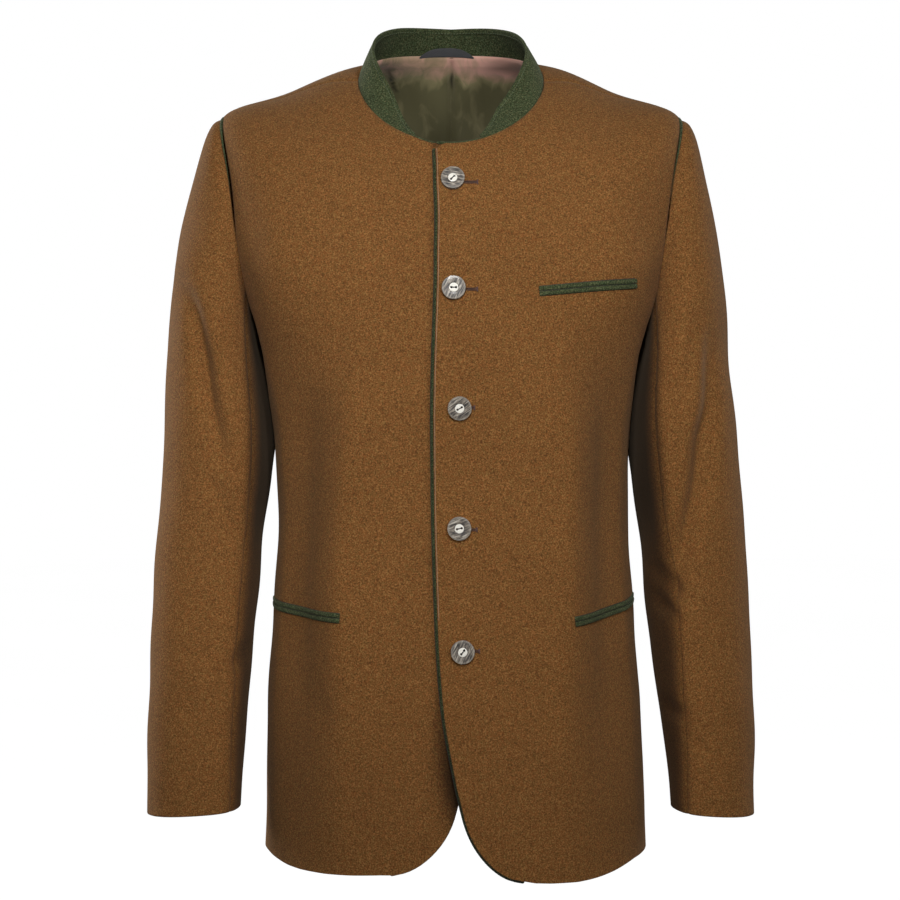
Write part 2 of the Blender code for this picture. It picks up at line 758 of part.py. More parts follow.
def front_edge_piping(finish):
    points, normals = [], []
    for level, _ in ROWS:
        angle = angle_of_x(level, edge_x(True, ring_at(level).front_z))
        points.append(over_front_point(angle, level))
        normals.append(over_front_normal(angle, level))
    away = edge_directions(points, normals, -1)
    return strip("front_edge_piping", points, normals, away, EDGE_PIPING_WIDTH, TRIM, finish)


# ------------------------------------------------------------------ pockets, loop and buttons

def jet(name, pocket, upper, surface, finish):
    """One lip of a jetted pocket, laid on the front."""
    columns = 8
    low = JET_SLIT / 2 if upper else -JET_SLIT / 2 - JET_HEIGHT

    def place(i, j):
        share = i / columns
        angle = pocket.start_angle + (pocket.end_angle - pocket.start_angle) * share
        z = pocket.start_z + (pocket.end_z - pocket.start_z) * share + low + JET_HEIGHT * j
        level = level_at_height(angle, z)
        normal = body_normal(angle, level)
        return wall(surface(angle, level) + normal * (LAID_ON + TRIM), normal, TRIM)

    return cloth(name, columns, 1, place, finish)


def hanger_loop(finish):
    """A ribbon that arches over the collar seam inside the back neck."""
    columns = 8
    depth = COLLAR_CLOTH + LOOP_GAP

    def place(i, j):
        across = 2 * i / columns - 1
        x = LOOP_CENTRE_X + LOOP_HALF_LENGTH * across
        angle = 180 - math.degrees(math.asin(x / ring_at(NECK).half_width))
        arch = 1 - across ** 4
        height = 2 * SEAM + LOOP_RISE * arch + LOOP_WIDTH * (j - arch * j * 0.2)
        normal = collar_normal(angle)
        point = body_point(angle, NECK) + collar_up(angle) * height - normal * depth
        return wall(point, normal, RIBBON)

    return cloth("hanger_loop", columns, 1, place, finish)


def button_mesh():
    """A turned disc with a bevelled rim, a dished middle and two thread holes."""
    top = BUTTON_THICKNESS
    profile = (
        (0.0, top - BUTTON_DISH_DEPTH),
        (BUTTON_DISH_RADIUS * 0.6, top - BUTTON_DISH_DEPTH),
        (BUTTON_DISH_RADIUS, top),
        (BUTTON_RADIUS - BUTTON_BEVEL, top),
        (BUTTON_RADIUS, top - BUTTON_BEVEL),
        (BUTTON_RADIUS, BUTTON_BEVEL / 2),
        (BUTTON_RADIUS - BUTTON_BEVEL / 2, 0.0),
        (0.0, 0.0),
    )
    outline = bpy.data.meshes.new("button_profile")
    outline.from_pydata([(r, 0.0, z) for r, z in profile],
                        [(k, k + 1) for k in range(len(profile) - 1)], [])
    disc = bpy.data.objects.new("button_disc", outline)
    bpy.data.collections["cutters"].objects.link(disc)
    turn = disc.modifiers.new("turn", "SCREW")
    turn.steps = 28
    turn.render_steps = 28
    turn.use_merge_vertices = True
    turn.merge_threshold = 1e-5
    for side in (-1, 1):
        bpy.ops.mesh.primitive_cylinder_add(
            vertices=10, radius=BUTTON_HOLE_RADIUS, depth=4 * BUTTON_THICKNESS,
            location=(side * BUTTON_HOLE_SPACING / 2, 0, BUTTON_THICKNESS / 2))
        hole = bpy.context.object
        hole.name = "thread_hole"
        hide_cutter(hole)
        cut = disc.modifiers.new("hole", "BOOLEAN")
        cut.operation = "DIFFERENCE"
        cut.solver = "EXACT"
        cut.object = hole
    bpy.context.view_layer.update()
    finished = bpy.data.meshes.new_from_object(disc.evaluated_get(bpy.context.evaluated_depsgraph_get()))
    hide_cutter(disc)
    return finished


def hide_cutter(cutter):
    """Keep a helper shape out of the model."""
    for collection in list(cutter.users_collection):
        collection.objects.unlink(cutter)
    bpy.data.collections["cutters"].objects.link(cutter)
    cutter.hide_render = True
    cutter.display_type = "WIRE"


def add_button(button, shape, finish):
    angle, level = place_on_front(button.x, button.z)
    normal = over_front_normal(angle, level)
    point = over_front_point(angle, level) + normal * button.lift
    up = (Vector((0, 0, 1)) - normal * normal.z).normalized()
    across = up.cross(normal).normalized()
    frame = Matrix((across, up, normal)).transposed().to_4x4()
    turned = Matrix.Rotation(math.radians(button.hole_turn), 4, "Z")
    mesh = shape.copy()
    mesh.name = button.name
    mesh.transform(Matrix.Translation(point) @ frame @ turned)
    mesh.shade_smooth()
    mesh.set_sharp_from_angle(angle=math.radians(35))
    mesh.materials.clear()
    return add_piece(button.name, mesh, finish)


# ------------------------------------------------------------------ build

def clear_scene():
    for old in list(bpy.data.objects):
        bpy.data.objects.remove(old, do_unlink=True)
    for name in ("tyrolean_loden_jacket", "cutters"):
        collection = bpy.data.collections.new(name)
        bpy.context.scene.collection.children.link(collection)


def build():
    clear_scene()
    loden = material("brown_loden", (0.160, 0.072, 0.022), 0.95)
    green = material("green_loden", (0.052, 0.078, 0.036), 0.95)
    shot = material("shot_lining", (0.130, 0.105, 0.055), 0.40)
    ribbon = material("dark_ribbon", (0.020, 0.020, 0.022), 0.60)
    staghorn = material("staghorn", (0.230, 0.190, 0.145), 0.45)

    front_panel("front_left", 1, loden)
    front_panel("front_right", -1, loden)
    back_panel("back_left", 1, loden)
    back_panel("back_right", -1, loden)
    for side, name in ((1, "left"), (-1, "right")):
        sleeve_panel("sleeve_" + name + "_top", side, False, loden)
        sleeve_panel("sleeve_" + name + "_under", side, True, loden)
        shoulder_piping("shoulder_piping_" + name, side, green)
        back_lining("back_lining_" + name, side, shot)
    stand_collar(green)
    neck_pipings(green)
    front_edge_piping(green)
    for pocket in POCKETS:
        surface = under_front_point if pocket.start_angle < 0 else over_front_point
        jet(pocket.name + "_upper", pocket, True, surface, green)
        jet(pocket.name + "_lower", pocket, False, surface, green)
    hanger_loop(ribbon)
    shape = button_mesh()
    for button in BUTTONS:
        add_button(button, shape, staghorn)


build()
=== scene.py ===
"""Tyrolean loden jacket in its worn form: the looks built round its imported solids.

Metres, +Z up, the wearer facing -Y with the wearer's left side at +X; tables in mm()
are in thousandths.  The trunk is one family of rings, each point given by an angle round
the body (0 centre front, 90 side, 180 centre back) and a level from the hem up over the
shoulder to the neckline.
"""
import math
from collections import namedtuple

import bmesh
import bpy
import numpy as np
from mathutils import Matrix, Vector


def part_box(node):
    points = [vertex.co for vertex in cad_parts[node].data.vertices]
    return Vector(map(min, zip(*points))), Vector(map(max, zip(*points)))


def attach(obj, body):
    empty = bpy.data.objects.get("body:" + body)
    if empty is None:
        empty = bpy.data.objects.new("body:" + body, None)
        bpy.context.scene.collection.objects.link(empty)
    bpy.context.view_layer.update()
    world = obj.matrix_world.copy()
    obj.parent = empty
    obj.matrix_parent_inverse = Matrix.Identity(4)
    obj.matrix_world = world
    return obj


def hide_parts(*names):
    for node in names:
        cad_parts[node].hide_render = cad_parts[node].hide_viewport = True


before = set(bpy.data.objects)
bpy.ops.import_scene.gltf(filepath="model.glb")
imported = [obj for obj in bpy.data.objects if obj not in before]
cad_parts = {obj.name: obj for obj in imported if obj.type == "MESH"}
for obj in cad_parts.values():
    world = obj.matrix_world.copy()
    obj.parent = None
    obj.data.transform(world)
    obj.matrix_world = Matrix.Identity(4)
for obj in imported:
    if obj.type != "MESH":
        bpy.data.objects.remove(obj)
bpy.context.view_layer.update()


def mm(rows):
    """A table given in thousandths, as metres or plain shares."""
    return np.array(rows) / 1000


# ---- walls and gaps
LODEN = 0.0018
COLLAR_CLOTH = 0.0026
TRIM = 0.0012
LINING = 0.0009
RIBBON = 0.0008
SEAM = 0.0003
LAP_GAP = 0.0006

# ---- trunk form
# half_width shift_x side_y front_y back_y side_z front_z back_z tilt fullness
BODY_RINGS = mm((
    (179.5, 2.5, 0, -147, 145, -740.5, -749.5, -723, 13, 100),
    (178.5, 2.5, 0, -146, 144, -691, -700, -678, 10, 100),
    (177.2, 2, 0, -143, 141, -605, -611, -596, 4, 100),
    (171.2, 1.5, 0, -138, 133, -527, -531, -521, 1, 100),
    (165.5, 0.8, 0, -132, 123, -430, -433, -425, 0, 100),
    (166.8, 0, 0, -133, 123, -365, -369, -358, 0, 100),
    (172.5, 0, 0, -137, 127, -310, -318, -302, 0, 100),
    (181, 0, 0, -138, 131, -250, -268, -238, 0, 100),
    (200, 0, 2, -135, 133, -200, -235, -190, 0, 100),
    (218.5, 0, 4, -131, 132, -150, -205, -148, 0, 90),
    (222, 0, 6, -125, 127, -100, -176, -105, 0, 80),
    (215, 0, 8, -117, 117, -49, -147, -62, 4, 60),
    (155, 0, 6, -105, 101, -29.5, -112, -16, 26, 30),
    (115, 0, -1, -95.5, 88.5, -16.5, -93.5, 1, 41, 10),
    (88, 0, -10, -88, 78, -16, -78.7, 11, 48, 0)))
HIP_RING, UNDERARM_RING, SHOULDER_RING = 2, 7, 11
SOFT_ROLL = 0.045
ROLL_EASE = 0.090
SIDE_SEAM = 95.0
SHOULDER_SEAM = 90.0
ARMHOLE_HOLLOW = 28.0

# z over_x under_x
FRONT_EDGES = mm((
    (-749.5, 26.2, -9.8), (-690, 11.6, 4.5), (-660, 4.2, 11.5), (-600, -6.4, 17),
    (-500, -12.8, 19), (-333, -16, 19), (-196, -12.8, 18.5), (-78.7, -12.8, 18)))
OVER_CORNER = 0.0404
UNDER_CORNER = -0.0446
OVER_HEM_DROP = 0.0066
OVER_DROP_END = 68.0
OVER_DROP_EASE = 28.0
LAP_EASE = 0.020
LAP_REACH = 0.004

# ---- sleeves
# outer_x outer_z inner_x inner_z front_y back_y warp right_fuller left_inner fore_left fore_right
ARMHOLE_OVAL = np.array((0.2150, -0.0490, 0.1810, -0.2500, -0.0620, 0.0720, 1.0, 0, 0, 126, 126))
SLEEVE_RINGS = np.array((
    (0.2262, -0.0580, 0.1818, -0.2555, -0.0630, 0.0715, 0.75, 0, 0, 126, 126),
    (0.2340, -0.0780, 0.1800, -0.2660, -0.0665, 0.0725, 0.55, 0.001, 0, 126, 127),
    (0.2460, -0.1280, 0.1780, -0.2800, -0.0710, 0.0745, 0.25, 0.0035, 0, 126, 129),
    (0.2575, -0.2020, 0.1752, -0.3000, -0.0745, 0.0755, 0.05, 0.0055, 0, 126, 131),
    (0.2640, -0.2850, 0.1710, -0.3420, -0.0745, 0.0710, 0, 0.005, 0, 126, 133),
    (0.2715, -0.3650, 0.1720, -0.3950, -0.0700, 0.0610, 0, 0.001, 0.001, 124, 135),
    (0.2785, -0.4450, 0.1790, -0.4550, -0.0680, 0.0550, 0, 0, 0.001, 120, 136),
    (0.2840, -0.5450, 0.1870, -0.5480, -0.0770, 0.0370, 0, 0, 0.0015, 118, 138),
    (0.2860, -0.6400, 0.1945, -0.6400, -0.0850, 0.0160, 0, 0, 0.0075, 126, 142),
    (0.2855, -0.7045, 0.1975, -0.6980, -0.0920, 0.0010, 0, 0, 0.0095, 132, 147),
))
HIND_SEAM = 252.0
SLEEVE_FULLNESS = 0.05
SHOULDER_PIPING_WIDTH = 0.0036
SHOULDER_PIPING_REACH = 72.0
SHOULDER_PIPING_END = 69.0

# ---- collar
# angle lean_left lean_right height
COLLAR_ROWS = np.array((
    (15.0, 60.0, 60.0, 0.0270),
    (45.0, 54.0, 54.0, 0.0280),
    (90.0, 33.0, 27.0, 0.0300),
    (135.0, 27.0, 19.0, 0.0300),
    (152.0, 21.0, 17.0, 0.0289),
    (180.0, 12.0, 12.0, 0.0264),
))
COLLAR_TIP_LEFT = 19.5
COLLAR_TIP_RIGHT = 24.2
COLLAR_TAPERS = 27.0, 39.0
COLLAR_TIP_HEIGHTS = 0.0066, 0.0054
COLLAR_STITCH_INSET = 0.0028
NECK_PIPING_HEIGHT = 0.0022
EDGE_PIPING_WIDTH = 0.0026

# ---- pockets and buttons
JET_HEIGHT = 0.0041
JET_ROUND = 0.0009
# start_angle start_z end_angle end_z
POCKETS = {
    "chest_pocket": (20.9, -0.2153, 50.4, -0.2062),
    "pocket_left": (36.0, -0.5188, 87.0, -0.5045),
    "pocket_right": (-32.6, -0.5151, -87.0, -0.5080),
}
# turn of the thread holes, turn of the grain, end of the buttonhole and its drop, from the centre
BUTTONS = {
    "button_1": (45.0, -55.0, 0.0226, 0.0028),
    "button_2": (0.0, 62.0, 0.0218, 0.0012),
    "button_3": (30.0, 6.0, 0.0136, -0.0004),
    "button_4": (12.0, 8.0, 0.0160, 0.0012),
    "button_5": (50.0, 16.0, 0.0152, -0.0007),
}
BUTTON_RADIUS = 0.0109
BUTTON_THICKNESS = 0.0042


# ---- form functions

def smooth_column(knots, values, at):
    """Values at given places on a smooth curve through a column, or columns, of a table."""
    knots, values, at = (np.asarray(item, float) for item in (knots, values, at))
    shape = (-1,) + (1,) * (values.ndim - 1)
    rise = np.empty_like(values)
    rise[1:-1] = (values[2:] - values[:-2]) / (knots[2:] - knots[:-2]).reshape(shape)
    rise[0] = (values[1] - values[0]) / (knots[1] - knots[0])
    rise[-1] = (values[-1] - values[-2]) / (knots[-1] - knots[-2])
    at = np.clip(at, knots[0], knots[-1])
    low = np.clip(np.searchsorted(knots, at) - 1, 0, len(knots) - 2)
    span = knots[low + 1] - knots[low]
    f = (at - knots[low]) / span
    if values.ndim > 1:
        extra = (1,) * (values.ndim - 1)
        f = f.reshape(f.shape + extra)
        span = span.reshape(span.shape + extra)
    start = (1 + 2 * f) * (1 - f) ** 2 * values[low] + f * (1 - f) ** 2 * span * rise[low]
    end = f * f * (3 - 2 * f) * values[low + 1] - f * f * (1 - f) * span * rise[low + 1]
    return start + end


def smooth_step(f):
    f = np.clip(f, 0.0, 1.0)
    return f * f * (3 - 2 * f)


def unit(vectors):
    return vectors / np.maximum(np.linalg.norm(vectors, axis=-1, keepdims=True), 1e-12)


def bell(distance, width):
    """1 where the distance is 0, falling away softly over the width."""
    return np.exp(-(distance / width) ** 2)


def read_table(table, at):
    """Smooth reading of a two-column table."""
    return smooth_column(table[:, 0], table[:, 1], at)


LEVELS = np.concatenate([[0.0], np.cumsum(
    np.hypot(np.diff(BODY_RINGS[:, 0]), np.diff(BODY_RINGS[:, 5])))])
HEM, NECK = LEVELS[0], LEVELS[-1]
UNDERARM, SHOULDER_END = LEVELS[UNDERARM_RING], LEVELS[SHOULDER_RING]


def ring_at(level):
    """The ten columns of the ring at any level."""
    return np.moveaxis(smooth_column(LEVELS, BODY_RINGS, level), -1, 0)


def plain_point(angle, level):
    width, shift, side_y, front_y, back_y, side_z, front_z, back_z, tilt, full = ring_at(level)
    across, along = np.sin(np.radians(angle)), np.cos(np.radians(angle))
    front = along > 0
    reach_y = np.where(front, front_y, back_y) - side_y
    reach_z = np.where(front, front_z - side_z + tilt, back_z - side_z - tilt)
    x = shift + width * across * (1 + full * along ** 2)
    y = side_y + reach_y * np.abs(along) * (1 + full * across ** 2)
    z = side_z - tilt * along + reach_z * along ** 2
    return np.stack(np.broadcast_arrays(x, y, z), -1)


def body_point(angle, level):
    """Point of the trunk's outer face; negative angles are the wearer's right."""
    angle, level = np.broadcast_arrays(np.asarray(angle, float), np.asarray(level, float))
    near_side = np.sin(np.radians(angle)) ** 4
    roll = SOFT_ROLL * (1 - near_side) * smooth_step((level - HEM) / ROLL_EASE)
    roll = roll * smooth_step((NECK - level) / ROLL_EASE)
    return (plain_point(angle, level - roll) + plain_point(angle, level + roll)
            + 2 * plain_point(angle, level)) / 4


def surface_normal(surface, u, v, step_u=0.5, step_v=1e-3):
    along_u = surface(u + step_u, v) - surface(u - step_u, v)
    along_v = surface(u, np.minimum(v + step_v, NECK)) - surface(u, np.maximum(v - step_v, HEM))
    return unit(np.cross(along_u, along_v))


def pace(angle, levels):
    """How far one degree of turn goes along a ring."""
    ahead, behind = body_point(angle + 0.5, levels), body_point(angle - 0.5, levels)
    return np.linalg.norm(ahead - behind, axis=-1)


def angle_of_x(level, x):
    """Angle on the front of a ring where it reaches x."""
    ring = ring_at(level)
    turn = np.zeros_like(ring[0] + x)
    for _ in range(12):
        turn = np.arcsin((x - ring[1]) / (ring[0] * (1 + ring[9] * np.cos(turn) ** 2)))
    return np.degrees(turn)


def level_at_height(angle, z):
    """Level where the trunk's line at one angle reaches the height z."""
    low = np.full(np.broadcast(angle, z).shape, HEM)
    high = np.full_like(low, NECK)
    for _ in range(36):
        middle = (low + high) / 2
        under = body_point(angle, middle)[..., 2] < z
        low = np.where(under, middle, low)
        high = np.where(under, high, middle)
    return low


def edge_x(over, front_z):
    """x of a front's edge: a near-straight line that rounds away at the hem."""
    heights = FRONT_EDGES[:, 0]
    line = smooth_column(heights, FRONT_EDGES[:, 1 if over else 2], front_z)
    drop = np.clip((heights[1] - front_z) / (heights[1] - heights[0]), 0.0, 1.0)
    corner = OVER_CORNER if over else UNDER_CORNER
    return line + corner * (1 - np.sqrt(1 - drop * drop))


def over_front_point(angle, level):
    """The upper front hangs a little lower than the one beneath it."""
    point = body_point(angle, level)
    fade = 1 - smooth_step(level / LEVELS[HIP_RING])
    drop = OVER_HEM_DROP * fade * smooth_step((OVER_DROP_END - np.abs(angle)) / OVER_DROP_EASE)
    point[..., 2] -= drop
    return point


def under_front_point(angle, level):
    """The right front sinks to pass beneath the left one."""
    point = body_point(angle, level)
    start = edge_x(True, ring_at(level)[6]) - LAP_REACH - LAP_EASE
    depth = (LODEN + LAP_GAP) * smooth_step((point[..., 0] - start) / LAP_EASE)
    return point - surface_normal(body_point, angle, level) * depth[..., None]


def armhole_place(turn):
    """Angle and level at one turn of the armhole: 0 shoulder, 90 front, 180 under, 270 back."""
    rise = (1 + np.cos(np.radians(turn))) / 2
    middle = SIDE_SEAM + (SHOULDER_SEAM - SIDE_SEAM) * rise
    angle = middle - ARMHOLE_HOLLOW * np.sin(np.radians(turn))
    return angle, UNDERARM + (SHOULDER_END - UNDERARM) * rise


def armhole_point(side, turn):
    angle, level = armhole_place(turn)
    return body_point(side * angle, level)


def sleeve_ring_point(side, turn, row):
    """Points of one oval sleeve ring."""
    outer = np.array((row[0] + (row[7] if side < 0 else 0.0), 0, row[1]))
    inner = np.array((row[2] + (row[8] if side > 0 else 0.0), 0, row[3]))
    half_depth = np.array((0, (row[4] - row[5]) / 2, 0))
    centre = (outer + inner) / 2 + np.array((0, (row[4] + row[5]) / 2, 0))
    across = np.cos(np.radians(turn))[..., None]
    along = np.sin(np.radians(turn))[..., None]
    point = (centre + (outer - inner) / 2 * across * (1 + SLEEVE_FULLNESS * along ** 2)
             + half_depth * along * (1 + SLEEVE_FULLNESS * across ** 2))
    return point * np.array((side, 1, 1))


def piping_width(turn):
    turn = (turn + 180) % 360 - 180
    taper = np.cos(np.radians(np.clip(turn * 90 / SHOULDER_PIPING_REACH, -90, 90)))
    return SHOULDER_PIPING_WIDTH * taper ** 1.8


def sleeve_lines(side, turn):
    """Points of lines along the sleeve, from armhole to cuff, one for each turn."""
    seam = armhole_point(side, turn)
    warp = seam - sleeve_ring_point(side, turn, ARMHOLE_OVAL)
    rings = [sleeve_ring_point(side, turn, row) + warp * row[6] for row in SLEEVE_RINGS]
    width = piping_width(turn)
    gap = width + np.where(width > 0, 2 * SEAM, SEAM)
    return np.stack([seam + unit(rings[0] - seam) * gap[..., None]] + rings)


def sleeve_knots():
    """Distance of each ring along the sleeve, as the mean of four lines."""
    lines = sleeve_lines(1, np.array((0.0, 90.0, 180.0, 270.0)))
    steps = np.linalg.norm(np.diff(lines, axis=0), axis=-1).mean(axis=1)
    return np.concatenate([[0.0], np.cumsum(steps)])


SLEEVE_KNOTS = sleeve_knots()
CUFF = SLEEVE_KNOTS[-1]


def fore_seam(side, reach):
    """Turn of the forearm seam at a distance along the sleeve."""
    column = SLEEVE_RINGS[:, 9 if side > 0 else 10]
    return smooth_column(SLEEVE_KNOTS, np.concatenate([[column[0]], column]), reach)


def collar_place(angle):
    """Lean and height of the collar at one angle round the neck (0 to 360)."""
    left = angle <= 180
    half = np.where(left, angle, 360 - angle)
    tip = np.where(left, COLLAR_TIP_LEFT, COLLAR_TIP_RIGHT)
    table = smooth_column(COLLAR_ROWS[:, 0], COLLAR_ROWS[:, 1:], half)
    lean = np.where(left, table[..., 0], table[..., 1])
    reach = np.where(left, *COLLAR_TAPERS)
    taper = np.sin(math.pi / 2 * np.clip((half - tip) / reach, 0.0, 1.0))
    tip_height = np.where(left, *COLLAR_TIP_HEIGHTS)
    height = tip_height + (table[..., 2] - tip_height) * taper
    return np.radians(lean), height


def collar_up(angle):
    lean, _ = collar_place(angle % 360)
    out = body_point(angle, NECK) - body_point(angle + 180, NECK)
    out[..., 2] = 0
    up = -unit(out) * np.sin(lean)[..., None]
    up[..., 2] += np.cos(lean)
    return unit(up)


def collar_normal(angle):
    around = body_point(angle + 0.5, NECK) - body_point(angle - 0.5, NECK)
    return unit(np.cross(around, collar_up(angle)))


# ---- cloth relief

def slope(points, axis):
    """Direction of a grid's lines, weighted for uneven steps."""
    step = np.diff(points, axis=axis)
    length = np.maximum(np.linalg.norm(step, axis=-1, keepdims=True), 1e-9)
    pace = step / length
    if axis == 0:
        middle = (pace[:-1] * length[1:] + pace[1:] * length[:-1]) / (length[1:] + length[:-1])
        return np.concatenate([pace[:1], middle, pace[-1:]], axis=0)
    middle = ((pace[:, :-1] * length[:, 1:] + pace[:, 1:] * length[:, :-1])
              / (length[:, 1:] + length[:, :-1]))
    return np.concatenate([pace[:, :1], middle, pace[:, -1:]], axis=1)


def grid_normals(points, side=1):
    return unit(np.cross(slope(points, 1), slope(points, 0))) * side


def edge_distances(points):
    """Distance of each grid point from the low column, high column, low row and high row."""
    across = np.linalg.norm(np.diff(points, axis=1), axis=-1)
    along = np.linalg.norm(np.diff(points, axis=0), axis=-1)
    from_left = np.pad(np.cumsum(across, axis=1), ((0, 0), (1, 0)))
    from_low = np.pad(np.cumsum(along, axis=0), ((1, 0), (0, 0)))
    return (from_left, from_left[:, -1:] - from_left, from_low, from_low[-1:] - from_low)


Crease = namedtuple("Crease", "facing depth width ridge path")


def creases(*rows):
    """Facing 1 behind or -1 in front, then depth, width and ridge, then x and z along the path."""
    return [Crease(row[0], *mm(row[1:4]), mm(row[4:]).reshape(-1, 2)) for row in rows]


SLEEVE_RIGHT_CREASES = creases(
    (-1, 11.2, 8.8, 2.6, -254.3, -209.3, -244.6, -226, -238.6, -243.7, -233.9, -265, -230.2,
     -283.6, -227.4, -306.9, -223.7, -325.5, -217.2, -353.3, -212, -376.6),
    (-1, 3.4, 7.2, 1, -228, -381.3, -218.8, -401.8, -209.5, -424.2, -198.5, -454),
    (-1, 3, 16, 0, -223, -100.2, -234.3, -134.7, -238.1, -167.3, -231.7, -199.9),
    (-1, 2, 9, 0, -250, -614.9, -237.9, -605.6, -225.8, -597.2),
    (-1, 4.2, 7.5, 1.4, -186.2, -541, -193.7, -555.1, -205, -567.3),
    (1, 3, 8, 1.2, -200, -330, -220, -360, -245, -382),
    (1, 2.4, 8.5, 0.8, -205, -390, -228, -408, -256, -415),
    (1, 2, 9, 0, -210, -220, -220, -260, -240, -300),
)
SLEEVE_LEFT_CREASES = creases(
    (-1, 11.8, 10.4, -2.4, 238.4, -241.8, 244, -265, 244.9, -283.6, 244.9, -316.2, 240.2, -339.4,
     236.5, -353.3, 232.8, -390.5, 223.5, -424.9, 215.1, -455.6, 208.6, -483.5, 203.9, -506.7),
    (-1, 3.4, 6.8, 0, 228.9, -230.7, 225.3, -260.3, 219.8, -293.7, 215.3, -320.6, 211.6, -343.9),
    (-1, 4, 6.8, 1.2, 189.6, -467.9, 202.8, -487.5, 217.8, -501.6),
    (-1, 3.6, 6.2, 1, 187.8, -494.1, 199.1, -509.1, 212.2, -524.1),
    (-1, 2.8, 7, 0, 222, -628, 229.5, -636.4, 238.8, -643.9),
    (-1, 3.8, 7.5, 1.2, 198.7, -594.3, 206.2, -603.7, 217.4, -611.2),
    (1, 2.8, 8, 1, 198, -345, 218, -370, 248, -386),
    (1, 2.6, 8, 1, 205, -410, 230, -420, 260, -416),
    (1, 1.8, 10, 0, 215, -200, 225, -245, 230, -290),
)
TRUNK_CREASES = creases(
    (-1, 1.8, 14, 0, -183.5, -141.3, -178.1, -164, -171.8, -191.4),
    (-1, 1.6, 14, 0, 179.7, -141.3, 174.3, -164.9, 167, -191.4),
    (-1, 1.4, 12, 0, -132.4, -584.2, -117.8, -602.6, -103.2, -615.4),
    (-1, 1.4, 9, 0, -95.9, -693.6, -86.8, -700.9, -75.8, -706.4),
    (-1, 1.8, 11, 0, 46.4, -706.4, 61.1, -717.5, 77.5, -732.1),
    (-1, 0.7, 6, 0, -164.9, -224.2, -151.2, -220.6, -135.8, -215.1),
    (1, 2.2, 13, 0.8, -135, -150, -115, -210, -108, -290),
    (1, 2, 13, 0.8, 132, -160, 118, -220, 110, -300),
    (1, 1.8, 12, 0, -90, -390, -40, -405, 20, -402),
    (1, 1.6, 12, 0, 95, -400, 50, -420, 8, -426),
    (1, 1.6, 16, 0, 60, -520, 70, -590, 74, -660),
    (1, 1.4, 16, 0, -65, -540, -72, -610, -80, -670),
)
# The dart of each front: the cloth breaks softly along it and turns away to the side.
DARTS = (
    mm(((-89.2, -267.1), (-91, -314.5), (-93.9, -360.3), (-97.6, -406),
        (-100.4, -461), (-102.3, -497.7))),
    mm(((96.8, -264.3), (100.3, -291.7), (105, -323.7), (107.6, -360.3),
        (107, -406), (105.4, -461), (104.8, -497.7))),
)
# distance towards the side, height
DART_PROFILE = mm((
    (-90, 0), (-70, 1), (-50, 3.4), (-30, 7), (-14, 10.6), (-5, 12.2), (2, 11.8), (10, 9.2),
    (22, 4.6), (34, 0.2), (46, -3.4), (60, -5.6), (80, -6), (105, -4.6), (140, -2.4), (180, 0)))
# z share
DART_SHARES = mm((
    (-760, 100), (-690, 300), (-640, 500), (-580, 800), (-510, 1000), (-400, 1000), (-330, 850),
    (-280, 400), (-230, 80), (-200, 0)))


def smooth_path(points, count=28):
    knots = np.arange(len(points))
    return smooth_column(knots, points, np.linspace(0, len(points) - 1, count))


def beside_path(points, path):
    """Signed distance from a path in the front view, and the share reached along it."""
    flat = points[..., [0, 2]].reshape(-1, 1, 2)
    start, step = path[:-1], np.diff(path, axis=0)
    share = ((flat - start) * step).sum(-1) / (step * step).sum(-1)
    share = np.clip(share, 0.0, 1.0)
    offset = flat - (start + share[..., None] * step)
    distance = np.linalg.norm(offset, axis=-1)
    best = distance.argmin(axis=1)
    rows = np.arange(len(best))
    turn = step[best, 0] * offset[rows, best, 1] - step[best, 1] * offset[rows, best, 0]
    along = (best + share[rows, best]) / len(step)
    shape = points.shape[:-1]
    return (distance[rows, best] * np.sign(turn)).reshape(shape), along.reshape(shape)


def crease_relief(points, normals, folds):
    """Soft troughs, each with a ridge to one side when the cloth is pushed up there."""
    lift = np.zeros(points.shape[:-1])
    for crease in folds:
        beside, along = beside_path(points, smooth_path(crease.path))
        fade = smooth_step((crease.facing * normals[..., 1] + 0.05) / 0.45)
        fade = fade * np.sin(math.pi * np.clip(along, 0.02, 0.98)) ** 0.6
        reach = 1.9 * crease.width * (1 if crease.ridge >= 0 else -1)
        profile = -crease.depth * bell(beside, crease.width)
        profile += abs(crease.ridge) * bell(beside - reach, 1.2 * crease.width)
        lift += profile * fade
    return lift


def dart_relief(points, normals):
    """Each front is fairly flat up to its dart and turns round to the side beyond it."""
    lift = np.zeros(points.shape[:-1])
    z = points[..., 2]
    share = read_table(DART_SHARES, z)
    for side, line in zip((-1, 1), DARTS):
        line = line[::-1]
        middle = smooth_column(line[:, 1], line[:, 0], z)
        slant = np.maximum(-normals[..., 1], 0.35)
        beside = side * (points[..., 0] - middle) / slant
        profile = read_table(DART_PROFILE, beside)
        facing = smooth_step(-normals[..., 1] / 0.45) * (side * points[..., 0] > 0)
        lift += profile * share * facing
    return lift


# distance from the middle, height
CHEST_PLANE = mm((
    (85, 0), (105, 1), (125, 3.8), (145, 7.8), (160, 10.2), (172, 10), (185, 7), (200, 3),
    (220, 0)))
# z share
CHEST_SHARES = mm((
    (-360, 0), (-310, 350), (-265, 850), (-230, 1000), (-190, 850), (-150, 350), (-110, 0)))


def chest_relief(points):
    """The chest stays nearly flat as far as the armholes before it turns to the side."""
    share = np.interp(points[..., 2], CHEST_SHARES[:, 0], CHEST_SHARES[:, 1])
    height = read_table(CHEST_PLANE, np.abs(points[..., 0]))
    return height * smooth_step(share) * smooth_step((0.010 - points[..., 1]) / 0.065)


